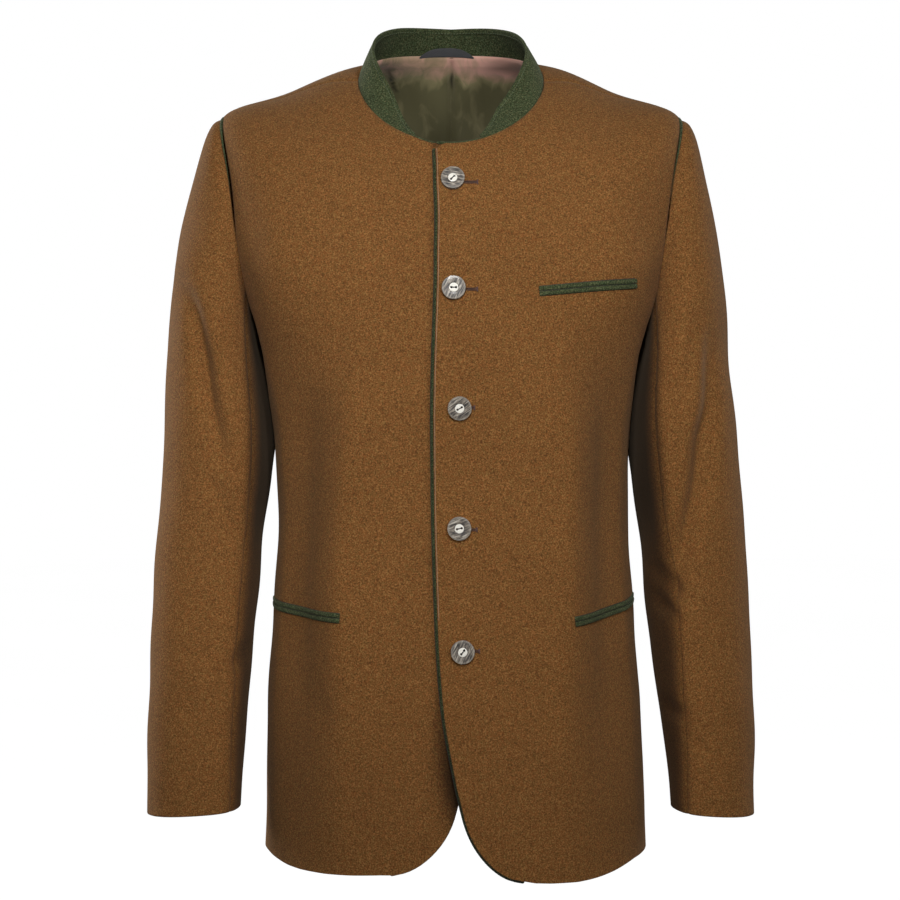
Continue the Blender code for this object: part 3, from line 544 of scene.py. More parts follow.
def soft_waves(points, seed, height, shortest, longest):
    """A little unevenness: crossing waves of many directions."""
    chance = np.random.default_rng(seed)
    lift = np.zeros(points.shape[:-1])
    count = 9
    for _ in range(count):
        direction = unit(chance.normal(size=3))
        length = chance.uniform(shortest, longest)
        lift += np.sin(points @ direction * (2 * math.pi / length) + chance.uniform(0, 6.28))
    return lift * height / math.sqrt(count / 2)


def seam_dip(distances, sides, depth=0.0011, width=0.0026):
    """Cloth rolls in along a pressed seam; sides are indices into edge_distances."""
    return -sum(depth * bell(distances[k], width) for k in sides)


# ---- cloth meshes

def graded(count, near=(0.0035, 0.009, 0.017)):
    """Shares across a panel, closer together near its two edges."""
    near = np.array(near)
    shares = np.concatenate([np.linspace(0, 1, count + 1), near, 1 - near])
    return np.unique(np.round(shares, 6))


def rim_of(rows, columns):
    """Grid places round the edge of a sheet, with the side of each."""
    rim = [(0, i, 2) for i in range(columns - 1)]
    rim += [(j, columns - 1, 1) for j in range(rows - 1)]
    rim += [(rows - 1, i, 3) for i in range(columns - 1, 0, -1)]
    rim += [(j, 0, 0) for j in range(rows - 1, 0, -1)]
    return np.array(rim)


def lay_cloth(name, points, normals, lift, thickness, bulges, outside, inside=None,
              shade=None):
    """A sheet with an outer and an inner face and a rounded rim, lifted along its normals.

    bulges gives the rim's roundness at the low column, high column, low row and high row.
    shade, from 0 to 1, is painted shade: it darkens the colour there, standing in for shade in
    folds, gaps and beneath overlapping edges.
    """
    points = points + normals * np.asarray(lift)[..., None]
    rows, columns = points.shape[:2]
    thickness = np.broadcast_to(thickness, (rows, columns))[..., None]
    inner = points - normals * thickness
    away = np.zeros_like(points)
    away[0] += unit(points[0] - points[1])
    away[-1] += unit(points[-1] - points[-2])
    away[:, 0] += unit(points[:, 0] - points[:, 1])
    away[:, -1] += unit(points[:, -1] - points[:, -2])
    away = unit(away)
    rim = rim_of(rows, columns)
    j, i, side = rim.T
    bulge = np.array(bulges)[side]
    bulge = ((np.roll(bulge, 1) + bulge) / 2)[:, None]
    middle, half = (points[j, i] + inner[j, i]) / 2, (points[j, i] - inner[j, i]) / 2
    loops = [middle + half * math.cos(t) + away[j, i] * bulge * math.sin(t)
             for t in (math.pi / 4, math.pi / 2, 3 * math.pi / 4)]
    places = np.concatenate([points.reshape(-1, 3), inner.reshape(-1, 3)] + loops)
    grid = np.arange(rows * columns).reshape(rows, columns)
    quads = np.stack([grid[:-1, :-1], grid[:-1, 1:], grid[1:, 1:], grid[1:, :-1]], -1)
    quads = quads.reshape(-1, 4)
    count = rows * columns
    faces = [quads, quads[:, ::-1] + count]
    outer_rim = grid[j, i]
    chain = [outer_rim] + [2 * count + k * len(rim) + np.arange(len(rim)) for k in range(3)]
    chain.append(outer_rim + count)
    for low, high in zip(chain, chain[1:]):
        faces.append(np.stack([low, high, np.roll(high, -1), np.roll(low, -1)], -1))
    mesh = bpy.data.meshes.new(name)
    mesh.from_pydata(places.tolist(), [], np.concatenate(faces).tolist())
    for finish in (outside, inside or outside):
        mesh.materials.append(finish)
    slots = np.zeros(len(mesh.polygons), np.int32)
    slots[len(quads):2 * len(quads)] = 1
    mesh.polygons.foreach_set("material_index", slots)
    # Painted shade is stored as a point attribute for the materials to read.
    if shade is not None:
        depth = mesh.attributes.new("painted_shade", "FLOAT", "POINT")
        depth.data.foreach_set("value", np.concatenate([shade.ravel()] * 2 + [shade[j, i]] * 3))
    settle_normals(mesh)
    return stand_for(add_piece(name, mesh), name)


def settle_normals(mesh):
    shape = bmesh.new()
    shape.from_mesh(mesh)
    bmesh.ops.recalc_face_normals(shape, faces=shape.faces[:])
    if shape.calc_volume(signed=True) < 0:
        bmesh.ops.reverse_faces(shape, faces=shape.faces[:])
    shape.to_mesh(mesh)
    shape.free()
    mesh.shade_smooth()


def add_object(name, data):
    made = bpy.data.objects.new(name, data)
    bpy.context.scene.collection.objects.link(made)
    return made


def add_piece(name, mesh):
    return add_object(name + "_looks", mesh)


def stand_for(piece, node=None):
    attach(piece, "root")
    if node:
        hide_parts(node)
    return piece


def lay_threads(name, stitches, radius, rise, finish, sides=5):
    """Many short bowed threads in one mesh; each stitch is (start, end, normal)."""
    starts, ends, normals = (np.array(column) for column in zip(*stitches))
    along = unit(ends - starts)
    normals = unit(normals - along * (normals * along).sum(-1, keepdims=True))
    across = np.cross(along, normals)
    stations = np.array((0.0, 0.12, 0.5, 0.88, 1.0))
    girths = np.array((0.35, 0.85, 1.0, 0.85, 0.35)) * radius
    turns = np.arange(sides) * 2 * math.pi / sides
    rings = []
    for t, girth in zip(stations, girths):
        bow = rise * math.sin(math.pi * t) - radius * 0.4
        centre = starts + (ends - starts) * t + normals * bow
        for turn in turns:
            rings.append(centre + (across * math.cos(turn) + normals * math.sin(turn)) * girth)
    places = np.stack(rings, axis=1)
    count = len(stations) * sides
    faces = []
    for k in range(len(stations) - 1):
        for s in range(sides):
            after = (s + 1) % sides
            faces.append((k * sides + s, k * sides + after, (k + 1) * sides + after,
                          (k + 1) * sides + s))
    quads = np.array(faces)
    caps = np.array([list(range(sides))[::-1], list(range(count - sides, count))])
    offset = (np.arange(len(starts)) * count)[:, None, None]
    mesh = bpy.data.meshes.new(name)
    mesh.from_pydata(places.reshape(-1, 3).tolist(), [],
                     (quads + offset).reshape(-1, 4).tolist()
                     + (caps + offset).reshape(-1, sides).tolist())
    mesh.materials.append(finish)
    mesh.shade_smooth()
    stand_for(add_piece(name, mesh))


# ---- materials

def set_sockets(made, **values):
    """Plain values on a node's own sockets; a colour gets its alpha."""
    for key, value in values.items():
        if isinstance(value, tuple) and "Scale" not in key:
            value = (*value, 1.0)
        made.inputs[key.replace("_", " ")].default_value = value


def new_node(tree, kind, **settings):
    made = tree.nodes.new(kind)
    for key, value in settings.items():
        if hasattr(made, key):
            setattr(made, key, value)
        else:
            set_sockets(made, **{key: value})
    return made


def object_place(tree):
    return tree.nodes.new("ShaderNodeTexCoord").outputs["Object"]


def join(tree, *pairs):
    for source, target in pairs:
        tree.links.new(source, target)


def ramp(tree, source, stops):
    made = tree.nodes.new("ShaderNodeValToRGB")
    band = made.color_ramp
    while len(band.elements) < len(stops):
        band.elements.new(0.5)
    for element, (place, colour) in zip(band.elements, stops):
        element.position = place
        element.color = (*colour, 1.0) if len(colour) == 3 else (colour[0],) * 3 + (1.0,)
    tree.links.new(source, made.inputs["Fac"])
    return made.outputs["Color"]


def calculate(tree, operation, *values):
    made = tree.nodes.new("ShaderNodeMath")
    made.operation = operation
    for socket, value in zip(made.inputs, values):
        if isinstance(value, (int, float)):
            socket.default_value = value
        else:
            tree.links.new(value, socket)
    return made.outputs[0]


def weigh(tree, value, share, rest):
    """value x share + rest"""
    return calculate(tree, "ADD", calculate(tree, "MULTIPLY", value, share), rest)


def blend(tree, kind, factor, first, second):
    made = tree.nodes.new("ShaderNodeMix")
    made.data_type = "RGBA"
    made.blend_type = kind
    for socket, value in zip((made.inputs[0], made.inputs[6], made.inputs[7]),
                             (factor, first, second)):
        if isinstance(value, (int, float)):
            socket.default_value = value
        elif isinstance(value, tuple):
            socket.default_value = (*value, 1.0)
        else:
            tree.links.new(value, socket)
    return made.outputs[2]


def noise(tree, vector, scale, detail=2.0, roughness=0.5, distortion=0.0):
    made = new_node(tree, "ShaderNodeTexNoise", Scale=scale, Detail=detail,
                    Roughness=roughness, Distortion=distortion)
    join(tree, (vector, made.inputs["Vector"]))
    return made.outputs["Fac"]


def felted_wool_group():
    """Milled woollen cloth: mixed fibres, faint tufts and slow unevenness."""
    group = bpy.data.node_groups.new("felted_wool", "ShaderNodeTree")
    for name, way, kind in (
            ("Dark Fibre", "INPUT", "Color"), ("Main Fibre", "INPUT", "Color"),
            ("Light Fibre", "INPUT", "Color"), ("Color", "OUTPUT", "Color"),
            ("Roughness", "OUTPUT", "Float"), ("Height", "OUTPUT", "Float")):
        group.interface.new_socket(name=name, in_out=way, socket_type="NodeSocket" + kind)
    given, result = group.nodes.new("NodeGroupInput"), group.nodes.new("NodeGroupOutput")
    place = object_place(group)
    fleck = noise(group, place, 820.0, roughness=0.60)
    tuft = noise(group, place, 230.0, distortion=0.6)
    cloud = noise(group, place, 11.0)
    fibre = noise(group, place, 1500.0, 1.0)
    mixed = ramp(group, fleck, ((0.32, (0.0,)), (0.50, (0.5,)), (0.68, (1.0,))))
    low = blend(group, "MIX", calculate(group, "MULTIPLY", mixed, 2.0),
                given.outputs["Dark Fibre"], given.outputs["Main Fibre"])
    high = calculate(group, "SUBTRACT", calculate(group, "MULTIPLY", mixed, 2.0), 1.0)
    colour = blend(group, "MIX", calculate(group, "MAXIMUM", high, 0.0), low,
                   given.outputs["Light Fibre"])
    slow = weigh(group, tuft, 0.22, calculate(group, "MULTIPLY", cloud, 0.16))
    shade = calculate(group, "ADD", slow, 0.81)
    hue = ramp(group, noise(group, place, 560.0), (
        (0.36, (1.08, 0.95, 0.90)), (0.50, (1.0, 1.0, 1.0)), (0.64, (0.92, 1.04, 1.0))))
    shaded = blend(group, "MULTIPLY", 1.0, blend(group, "MULTIPLY", 1.0, colour, hue), shade)
    soft = weigh(group, tuft, 0.9, calculate(group, "MULTIPLY", fibre, 0.25))
    join(group, (shaded, result.inputs["Color"]),
         (weigh(group, fleck, 0.65, soft), result.inputs["Height"]),
         (weigh(group, fleck, 0.12, 0.86), result.inputs["Roughness"]))
    return group


WOOL = felted_wool_group()


def start_material(name):
    made = bpy.data.materials.new(name)
    made.use_nodes = True
    tree = made.node_tree
    return made, tree, tree.nodes["Principled BSDF"]


def add_bump(tree, shader, height, distance, strength=1.0):
    bump = new_node(tree, "ShaderNodeBump", Distance=distance, Strength=strength)
    join(tree, (height, bump.inputs["Height"]), (bump.outputs["Normal"], shader.inputs["Normal"]))


def with_painted_shade(tree, colour):
    """A colour darkened by the painted shade a piece carries as an attribute; pieces without it
    keep their colour.
    """
    deep = new_node(tree, "ShaderNodeAttribute", attribute_name="painted_shade")
    return blend(tree, "MULTIPLY", 1.0, colour,
                 calculate(tree, "SUBTRACT", 1.0, deep.outputs["Fac"]))


def wool_material(name, dark, main, light, sheen, tint):
    made, tree, shader = start_material(name)
    group = tree.nodes.new("ShaderNodeGroup")
    group.node_tree = WOOL
    set_sockets(group, Dark_Fibre=dark, Main_Fibre=main, Light_Fibre=light)
    join(tree, (with_painted_shade(tree, group.outputs["Color"]), shader.inputs["Base Color"]),
         (group.outputs["Roughness"], shader.inputs["Roughness"]))
    add_bump(tree, shader, group.outputs["Height"], 0.00016)
    set_sockets(shader, Sheen_Weight=sheen, Sheen_Roughness=0.6, Sheen_Tint=tint,
                Specular_IOR_Level=0.15)
    return made


def lining_material():
    """Two-coloured silk: olive brown seen square on, dusty rose at grazing angles and as painted
    sheen towards its top.
    """
    made, tree, shader = start_material("shot_silk")
    place = object_place(tree)
    turn = new_node(tree, "ShaderNodeLayerWeight", Blend=0.35)
    split = tree.nodes.new("ShaderNodeSeparateXYZ")
    join(tree, (place, split.inputs[0]))
    # Painted sheen: the silk turns rose towards its top edge by height, more so towards +X.
    rise = new_node(tree, "ShaderNodeMapRange", interpolation_type="SMOOTHSTEP",
                    From_Min=-0.022, From_Max=0.004)
    join(tree, (split.outputs["Z"], rise.inputs["Value"]))
    stretched = new_node(tree, "ShaderNodeMapping", Scale=(60.0, 60.0, 22.0))
    join(tree, (place, stretched.inputs["Vector"]))
    soft = noise(tree, stretched.outputs["Vector"], 1.0, 3.0, 0.55, 0.8)
    weave = noise(tree, place, 1400.0, 1.0)
    across = new_node(tree, "ShaderNodeMapRange", From_Min=-0.02, From_Max=0.05)
    join(tree, (split.outputs["X"], across.inputs["Value"]))
    sway = calculate(tree, "ADD", 0.55, calculate(tree, "MULTIPLY", across.outputs["Result"], 0.5))
    amount = calculate(tree, "ADD", calculate(tree, "MULTIPLY", rise.outputs["Result"], sway),
                       calculate(tree, "MULTIPLY", calculate(tree, "SUBTRACT", soft, 0.5), 1.1))
    amount = calculate(tree, "ADD", amount,
                       calculate(tree, "MULTIPLY", turn.outputs["Facing"], 0.30))
    colour = ramp(tree, amount, ((0.05, (0.110, 0.100, 0.046)), (0.35, (0.230, 0.200, 0.100)),
                                 (0.62, (0.480, 0.310, 0.205)), (0.95, (0.820, 0.450, 0.360))))
    join(tree, (with_painted_shade(tree, colour), shader.inputs["Base Color"]))
    set_sockets(shader, Roughness=0.42, Specular_IOR_Level=0.4, Sheen_Weight=0.25)
    add_bump(tree, shader, weave, 0.0002)
    return made


def ribbon_material():
    """Corded ribbon: fine ribs across its length."""
    made, tree, shader = start_material("corded_ribbon")
    place = tree.nodes.new("ShaderNodeTexCoord").outputs["UV"]
    ribs = new_node(tree, "ShaderNodeTexWave", Scale=9.5, Distortion=0.4, Detail=1.0)
    join(tree, (place, ribs.inputs["Vector"]))
    colour = ramp(tree, ribs.outputs["Fac"],
                  ((0.1, (0.022, 0.022, 0.024)), (0.9, (0.130, 0.130, 0.136))))
    join(tree, (colour, shader.inputs["Base Color"]))
    set_sockets(shader, Roughness=0.55)
    add_bump(tree, shader, ribs.outputs["Fac"], 0.0004)
    return made


def thread_material(name, dark, light):
    made, tree, shader = start_material(name)
    twist = noise(tree, object_place(tree), 2600.0, 1.0)
    colour = ramp(tree, twist, ((0.35, dark), (0.65, light)))
    join(tree, (colour, shader.inputs["Base Color"]))
    set_sockets(shader, Roughness=0.7)
    add_bump(tree, shader, twist, 0.0002)
    return made


def staghorn_material():
    """Sawn antler: long grey-brown streaks over cream, a smoother pale rim."""
    made, tree, shader = start_material("sawn_antler")
    place = tree.nodes.new("ShaderNodeTexCoord").outputs["UV"]
    seed = new_node(tree, "ShaderNodeAttribute", attribute_name="antler_seed")
    spread = new_node(tree, "ShaderNodeVectorMath", operation="ADD")
    join(tree, (place, spread.inputs[0]), (seed.outputs["Vector"], spread.inputs[1]))
    long = new_node(tree, "ShaderNodeMapping", Scale=(1.1, 7.0, 1.0))
    join(tree, (spread.outputs["Vector"], long.inputs["Vector"]))
    streak = noise(tree, long.outputs["Vector"], 1.0, 4.0, 0.6, 0.5)
    grain = noise(tree, long.outputs["Vector"], 5.0, 2.0)
    centre = new_node(tree, "ShaderNodeVectorMath", operation="LENGTH")
    join(tree, (place, centre.inputs[0]))
    core = new_node(tree, "ShaderNodeMapRange", From_Min=0.405, From_Max=0.365)
    rim = new_node(tree, "ShaderNodeMapRange", From_Min=0.80, From_Max=0.93)
    join(tree, (centre.outputs["Value"], core.inputs["Value"]),
         (centre.outputs["Value"], rim.inputs["Value"]))
    streaks = ramp(tree, streak, ((0.36, (0.022, 0.019, 0.018)), (0.46, (0.075, 0.062, 0.052)),
                                  (0.55, (0.240, 0.200, 0.155)), (0.66, (0.560, 0.510, 0.430))))
    lit = blend(tree, "MIX", calculate(tree, "MULTIPLY", core.outputs["Result"], 0.96),
                streaks, (1.0, 0.96, 0.86))
    rimmed = blend(tree, "MIX", calculate(tree, "MULTIPLY", rim.outputs["Result"], 0.45),
                   lit, (0.36, 0.32, 0.26))
    final = blend(tree, "MULTIPLY", 1.0, rimmed, weigh(tree, grain, 0.4, 0.80))
    join(tree, (final, shader.inputs["Base Color"]))
    set_sockets(shader, Roughness=0.42, Coat_Weight=0.15)
    add_bump(tree, shader, streak, 0.0004, 0.5)
    return made


BROWN = wool_material("brown_loden_cloth", (0.098, 0.037, 0.011), (0.196, 0.083, 0.0215),
                      (0.345, 0.164, 0.050), 0.13, (0.75, 0.58, 0.40))
GREEN = wool_material("green_loden_cloth", (0.013, 0.019, 0.008), (0.044, 0.058, 0.022),
                      (0.140, 0.155, 0.075), 0.12, (0.70, 0.75, 0.55))
# Darker, less sheeny copy of the green loden for the collar's inner face: a painted shade.
GREEN_PAINTED_SHADE = wool_material("green_loden_cloth_painted_shade", (0.011, 0.016, 0.007),
                            (0.036, 0.048, 0.019), (0.105, 0.117, 0.057), 0.06,
                            (0.70, 0.75, 0.55))
SILK = lining_material()
RIBBED = ribbon_material()
ANTLER = staghorn_material()
GREEN_THREAD = thread_material("green_thread", (0.060, 0.078, 0.040), (0.150, 0.180, 0.100))
PLUM_THREAD = thread_material("plum_brown_thread", (0.050, 0.020, 0.017), (0.150, 0.078, 0.066))
# Pale tan strands for the left front's folded edge: a painted highlight where the edge catches
# light.
EDGE_HIGHLIGHT_THREAD = thread_material("pale_tan_painted_highlight", (0.300, 0.170, 0.090), (0.520, 0.330, 0.210))
# Near-black thread for the buttons, also used for dark strands that are painted shade and shadow
# by the front edge, in the pockets and in the buttonholes.
DARK_THREAD_AND_SHADE = thread_material("dark_thread_and_painted_shade", (0.012, 0.010, 0.009), (0.040, 0.032, 0.026))


# ---- trunk panels
WAVE_SEED = 11
WAVE_LENGTHS = 0.055, 0.130
HEM_TURN, HEM_TURN_EASE = 0.020, 0.003
HEM_THICKER = 0.3
CORNER_ROWS, TRUNK_ROWS, ARMHOLE_ROWS, SHOULDER_ROWS = 14, 92, 80, 30


def trunk_relief(points, normals):
    lift = soft_waves(points, WAVE_SEED, 0.00045, *WAVE_LENGTHS)
    lift += crease_relief(points, normals, TRUNK_CREASES)
    return lift + dart_relief(points, normals) + chest_relief(points)


def trunk_rows():
    """Levels of the rows and the turn of the armhole where each meets it."""
    hem_z, corner_z = FRONT_EDGES[0, 0], FRONT_EDGES[1, 0]
    drop = np.cos(np.linspace(0, math.pi / 2, CORNER_ROWS + 1))[:-1]
    corner_levels = level_at_height(0.0, corner_z - (corner_z - hem_z) * drop)
    corner_levels[0] = HEM
    corner = level_at_height(0.0, corner_z)
    turns = np.linspace(180, 0, ARMHOLE_ROWS + 1)
    levels = np.concatenate([
        corner_levels, np.linspace(corner, UNDERARM, TRUNK_ROWS + 1)[:-1],
        armhole_place(turns)[1], np.linspace(SHOULDER_END, NECK, SHOULDER_ROWS + 1)[1:]])
    below = CORNER_ROWS + TRUNK_ROWS
    turns = np.concatenate([np.full(below, 180.0), turns, np.zeros(SHOULDER_ROWS)])
    return levels, turns


ROW_LEVELS, ROW_TURNS = trunk_rows()


def outer_angles(front):
    """Angle where a panel ends in each row: side seam, armhole or shoulder seam."""
    on_armhole = (ROW_TURNS > 0) & (ROW_TURNS < 180)
    seam = np.where(ROW_LEVELS <= UNDERARM, SIDE_SEAM, SHOULDER_SEAM)
    gap = SEAM / 2 / pace(seam, ROW_LEVELS) * (-1 if front else 1)
    turns = ROW_TURNS if front else 360 - ROW_TURNS
    return np.where(on_armhole, armhole_place(turns)[0], seam + gap)


def between(start, end, levels, count):
    """Angles spread from start to end in each row, and their levels."""
    angles = start[:, None] + (end - start)[:, None] * graded(count)
    return angles, np.broadcast_to(levels[:, None], angles.shape)


def front_grid(side):
    start = angle_of_x(ROW_LEVELS, edge_x(side > 0, ring_at(ROW_LEVELS)[6]))
    angles, levels = between(start, side * outer_angles(True), ROW_LEVELS, 70)
    if side < 0:
        return settle(under_front_point(angles, levels)), outward(angles, levels)
    levels = corner_levels(angles, levels)
    return settle(over_front_point(angles, levels)), outward(angles, levels)


def outward(angles, levels):
    return surface_normal(body_point, angles, np.clip(levels, HEM, NECK))


CORNER_ROUND = 0.0055
CORNER_REACH = 0.0100
CORNER_STRETCH = 1.9


def corner_levels(angles, levels):
    """The left front's top corner is rounded off below the neckline."""
    x = body_point(angles, levels)[..., 0] - edge_x(True, ring_at(np.array(NECK))[6])
    drop = CORNER_ROUND * np.clip(1 - x / CORNER_REACH, 0.0, 1.0) ** 2.4
    share = np.clip((levels - SHOULDER_END) / (NECK - SHOULDER_END), 0.0, 1.0)
    return levels - drop * CORNER_STRETCH * share


# x drop
HEM_DROPS = mm((
    (-175, 2), (-162, 0), (-152, -2), (-140, -3), (-116, -3), (-90, -1.8), (-65, 0), (-40, 1),
    (-14, 2), (25, 2.2), (50, 1.8), (63, 2.2), (76, -0.8), (90, -2), (115, -3), (130, -2),
    (150, -0.8), (168, 1)))
HEM_LINE_Z, HEM_REACH = -0.755, 0.055
# z out_left out_right
SIDES_OUT = mm((
    (-760, 4.2, 0), (-700, 3.8, 0), (-660, 2.6, 0), (-610, 0.6, 0), (-580, 0, 0), (-520, 1.2, 0),
    (-440, 2.4, 0), (-350, 2.2, 0), (-315, 0.4, 0), (-290, -1.8, -1.4), (-272, -2.8, -2.4),
    (-252, -1.2, -1), (-230, 0, 0)))


def settle(points):
    """Small departures of the hung cloth from its cut: an uneven hem and a fuller left hip."""
    points = points.copy()
    x, z = points[..., 0].copy(), points[..., 2].copy()
    low = 1 - smooth_step((z - HEM_LINE_Z) / HEM_REACH)
    near_front = smooth_step(-points[..., 1] / 0.05)
    points[..., 2] = z + low * near_front * np.interp(x, HEM_DROPS[:, 0], HEM_DROPS[:, 1])
    for column, side in ((1, 1), (2, -1)):
        out = np.interp(z, SIDES_OUT[:, 0], SIDES_OUT[:, column])
        points[..., 0] += side * out * smooth_step((side * x - 0.06) / 0.12)
    return points


def back_grid(side):
    start = outer_angles(False)
    end = 180 - SEAM / 2 / pace(180.0, ROW_LEVELS)
    angles, levels = between(side * start, side * end, ROW_LEVELS, 58)
    return settle(body_point(angles, levels)), outward(angles, levels)


FLARE = 0.0065
FLARE_TOP_Z, FLARE_FALL, FLARE_REACH = -0.590, 0.150, 0.085


def lap_flare(points):
    """Towards the hem the left front stands a little away from the right one."""
    low = smooth_step((FLARE_TOP_Z - points[..., 2]) / FLARE_FALL)
    return FLARE * low * smooth_step((FLARE_REACH - points[..., 0]) / FLARE_REACH)


def hem_thickness(from_edge):
    return LODEN * (1 + HEM_THICKER * (1 - smooth_step((from_edge - HEM_TURN) / HEM_TURN_EASE)))


FREE, SEAMED = LODEN * 0.5, 0.00014
EDGE_ROLL, EDGE_ROLL_WIDTH = 0.0004, 0.0012
LAP_SHADE_TOP_Z, LAP_SHADE_FALL = -0.555, 0.120


def lap_shade(points):
    """Painted shadow on the right front beside and beneath the left front's edge, wider and darker
    towards the hem.
    """
    edge = edge_x(True, np.clip(points[..., 2], FRONT_EDGES[0, 0], FRONT_EDGES[-1, 0]))
    aside = edge - EDGE_PIPING_WIDTH - points[..., 0]
    low = smooth_step((LAP_SHADE_TOP_Z - points[..., 2]) / LAP_SHADE_FALL)
    spread = 0.0030 + 0.0125 * low
    return (0.42 + 0.48 * low) * bell(np.maximum(aside, 0.0), spread)


def trunk_panel(name, side):
    front, over = name.startswith("front"), name == "front_left"
    points, normals = front_grid(side) if front else back_grid(side)
    distances = edge_distances(points)
    lift = trunk_relief(points, normals) + seam_dip(distances, (1,) if front else (0, 1))
    if over:
        lift += lap_flare(points) + EDGE_ROLL * bell(distances[0], EDGE_ROLL_WIDTH)
    under = front and not over
    # The right front carries a painted shadow beside the left front's edge.
    lay_cloth(name, points, normals, lift, hem_thickness(distances[2]),
              (FREE if under else SEAMED, SEAMED, FREE, SEAMED), BROWN,
              shade=lap_shade(points) if under else None)


# ---- sleeve panels
SLEEVE_ROWS = 150
UNDERARM_FOLD = 0.0130
UNDERARM_FOLD_Z, UNDERARM_FOLD_HEIGHT = -0.305, 0.070
UNDERARM_FOLD_TURN, UNDERARM_FOLD_SPREAD = 218.0, 32.0
SLEEVE_SEAM = 0.0006
FORE_EDGE, FORE_EDGE_TOP_Z, FORE_EDGE_FALL = 0.0110, -0.24, 0.14
FORE_EDGE_WIDTHS = 0.034, 0.016


def fore_edge(line, under):
    """The sleeve is pressed to a blunt edge along its forearm seam, more so below the elbow."""
    seam = line[0] if under else line[-1]
    share = smooth_step((FORE_EDGE_TOP_Z - seam[2]) / FORE_EDGE_FALL)
    away = np.linalg.norm(line - seam, axis=-1)
    return FORE_EDGE * share * bell(away, FORE_EDGE_WIDTHS[int(under)])


def sleeve_grid(side, under):
    reaches = graded(SLEEVE_ROWS, (0.004, 0.010)) * CUFF
    fore = fore_seam(side, reaches)
    low = fore if under else np.full_like(fore, HIND_SEAM - 360)
    high = np.full_like(fore, HIND_SEAM) if under else fore
    shares = graded(34 if under else 66, (0.006, 0.015))
    rows = []
    for reach, start, end in zip(reaches, low, high):
        pair = smooth_column(SLEEVE_KNOTS, sleeve_lines(side, np.array((start, start + 1))), reach)
        gap = SLEEVE_SEAM / 2 / np.linalg.norm(pair[1] - pair[0])
        turns = start + gap + (end - start - 2 * gap) * shares
        line = smooth_column(SLEEVE_KNOTS, sleeve_lines(side, turns), reach)
        fold = bell(line[:, 2] - UNDERARM_FOLD_Z, UNDERARM_FOLD_HEIGHT)
        fold *= bell(turns % 360 - UNDERARM_FOLD_TURN, UNDERARM_FOLD_SPREAD)
        line[:, 0] -= side * UNDERARM_FOLD * fold
        line[:, 1] -= fore_edge(line, under)
        rows.append(line)
    return np.stack(rows)


def sleeve_shade(points, distances, under):
    """Painted shade on the sleeve's inner side, which lies close against the trunk: dark on the
    under panel away from the forearm seam, fading towards the hind seam; on the top panel only
    beside that seam, high up.
    """
    z = points[..., 2]
    upper = smooth_step((z + 0.500) / 0.100)
    if not under:
        near = smooth_step((z + 0.460) / 0.080) * smooth_step((-0.150 - z) / 0.060)
        return 0.55 * near * (1 - smooth_step(distances[1] / 0.012))
    turned = smooth_step(distances[0] / 0.022)
    shade = 0.26 + 0.24 * upper + (0.38 + 0.06 * upper) * turned
    return shade * smooth_step(distances[1] / 0.050)


def sleeve_panel(name, side, under):
    points = sleeve_grid(side, under)
    normals = grid_normals(points, side)
    distances = edge_distances(points)
    folds = SLEEVE_LEFT_CREASES if side > 0 else SLEEVE_RIGHT_CREASES
    lift = soft_waves(points, WAVE_SEED, 0.00055, *WAVE_LENGTHS)
    lift += crease_relief(points, normals, folds) + seam_dip(distances, (0, 1, 2))
    lay_cloth(name, points, normals, lift, hem_thickness(distances[3]),
              (SEAMED, SEAMED, SEAMED, FREE), BROWN, shade=sleeve_shade(points, distances, under))


# ---- collar, lining and pipings
COLLAR_DIP, COLLAR_DIP_WIDTH = 0.0008, 0.0009
COLLAR_ROUND = COLLAR_CLOTH / 2
STITCH_PITCH, STITCH_LENGTH = 0.0030, 0.0022
STITCH_RADIUS, STITCH_HEIGHT = 0.00036, 0.00012
LINING_COLUMN_SHARE = 0.1
LINING_OVER_SEAM = 0.0024
LINING_FIRST_DROP = math.cos(3 * math.pi / 8)
LINING_EASE, LINING_EASE_WIDTH = 0.0030, 0.0030
# Darkness of the painted shade in the lining's slit-like folds.
SLIT_SHADE = 0.92
LINING_SLITS = creases(
    (1, 3.4, 1.6, 1.2, 1.2, 0, 0.4, -8, 1, -17),
    (1, 3.6, 2.2, 1.4, -62.5, 4, -58, -9, -53, -21),
)
# place width depth top drift
LINING_FOLDS = mm((
    (-52, 6, 2.2, -6, 100), (-31, 5, 1.6, -4, -60), (-14, 4.5, 1.2, -8, 30),
    (12, 4.8, 1.4, -6, 50), (34, 6.2, 2.2, -4, 120), (55, 7, 2.4, -10, -80)))
LOOP_HALF_LENGTH = 0.0272
LOOP_CENTRE_X = -0.0046
LOOP_RISE = 0.0016
LOOP_WIDTH = 0.0078
LOOP_GAP = 0.0008


def collar_grid():
    round_neck = 360 - COLLAR_TIP_RIGHT - COLLAR_TIP_LEFT
    angles = COLLAR_TIP_LEFT + round_neck * graded(150, (0.002, 0.004))
    base = body_point(angles, np.full_like(angles, NECK))
    right = angles > 270
    base[right] = under_front_point(angles[right] - 360, np.full(right.sum(), NECK))
    _, height = collar_place(angles)
    shares = graded(12, (0.02, 0.10))[:, None]
    rise = SEAM + height * shares
    return base + collar_up(angles) * rise[..., None]


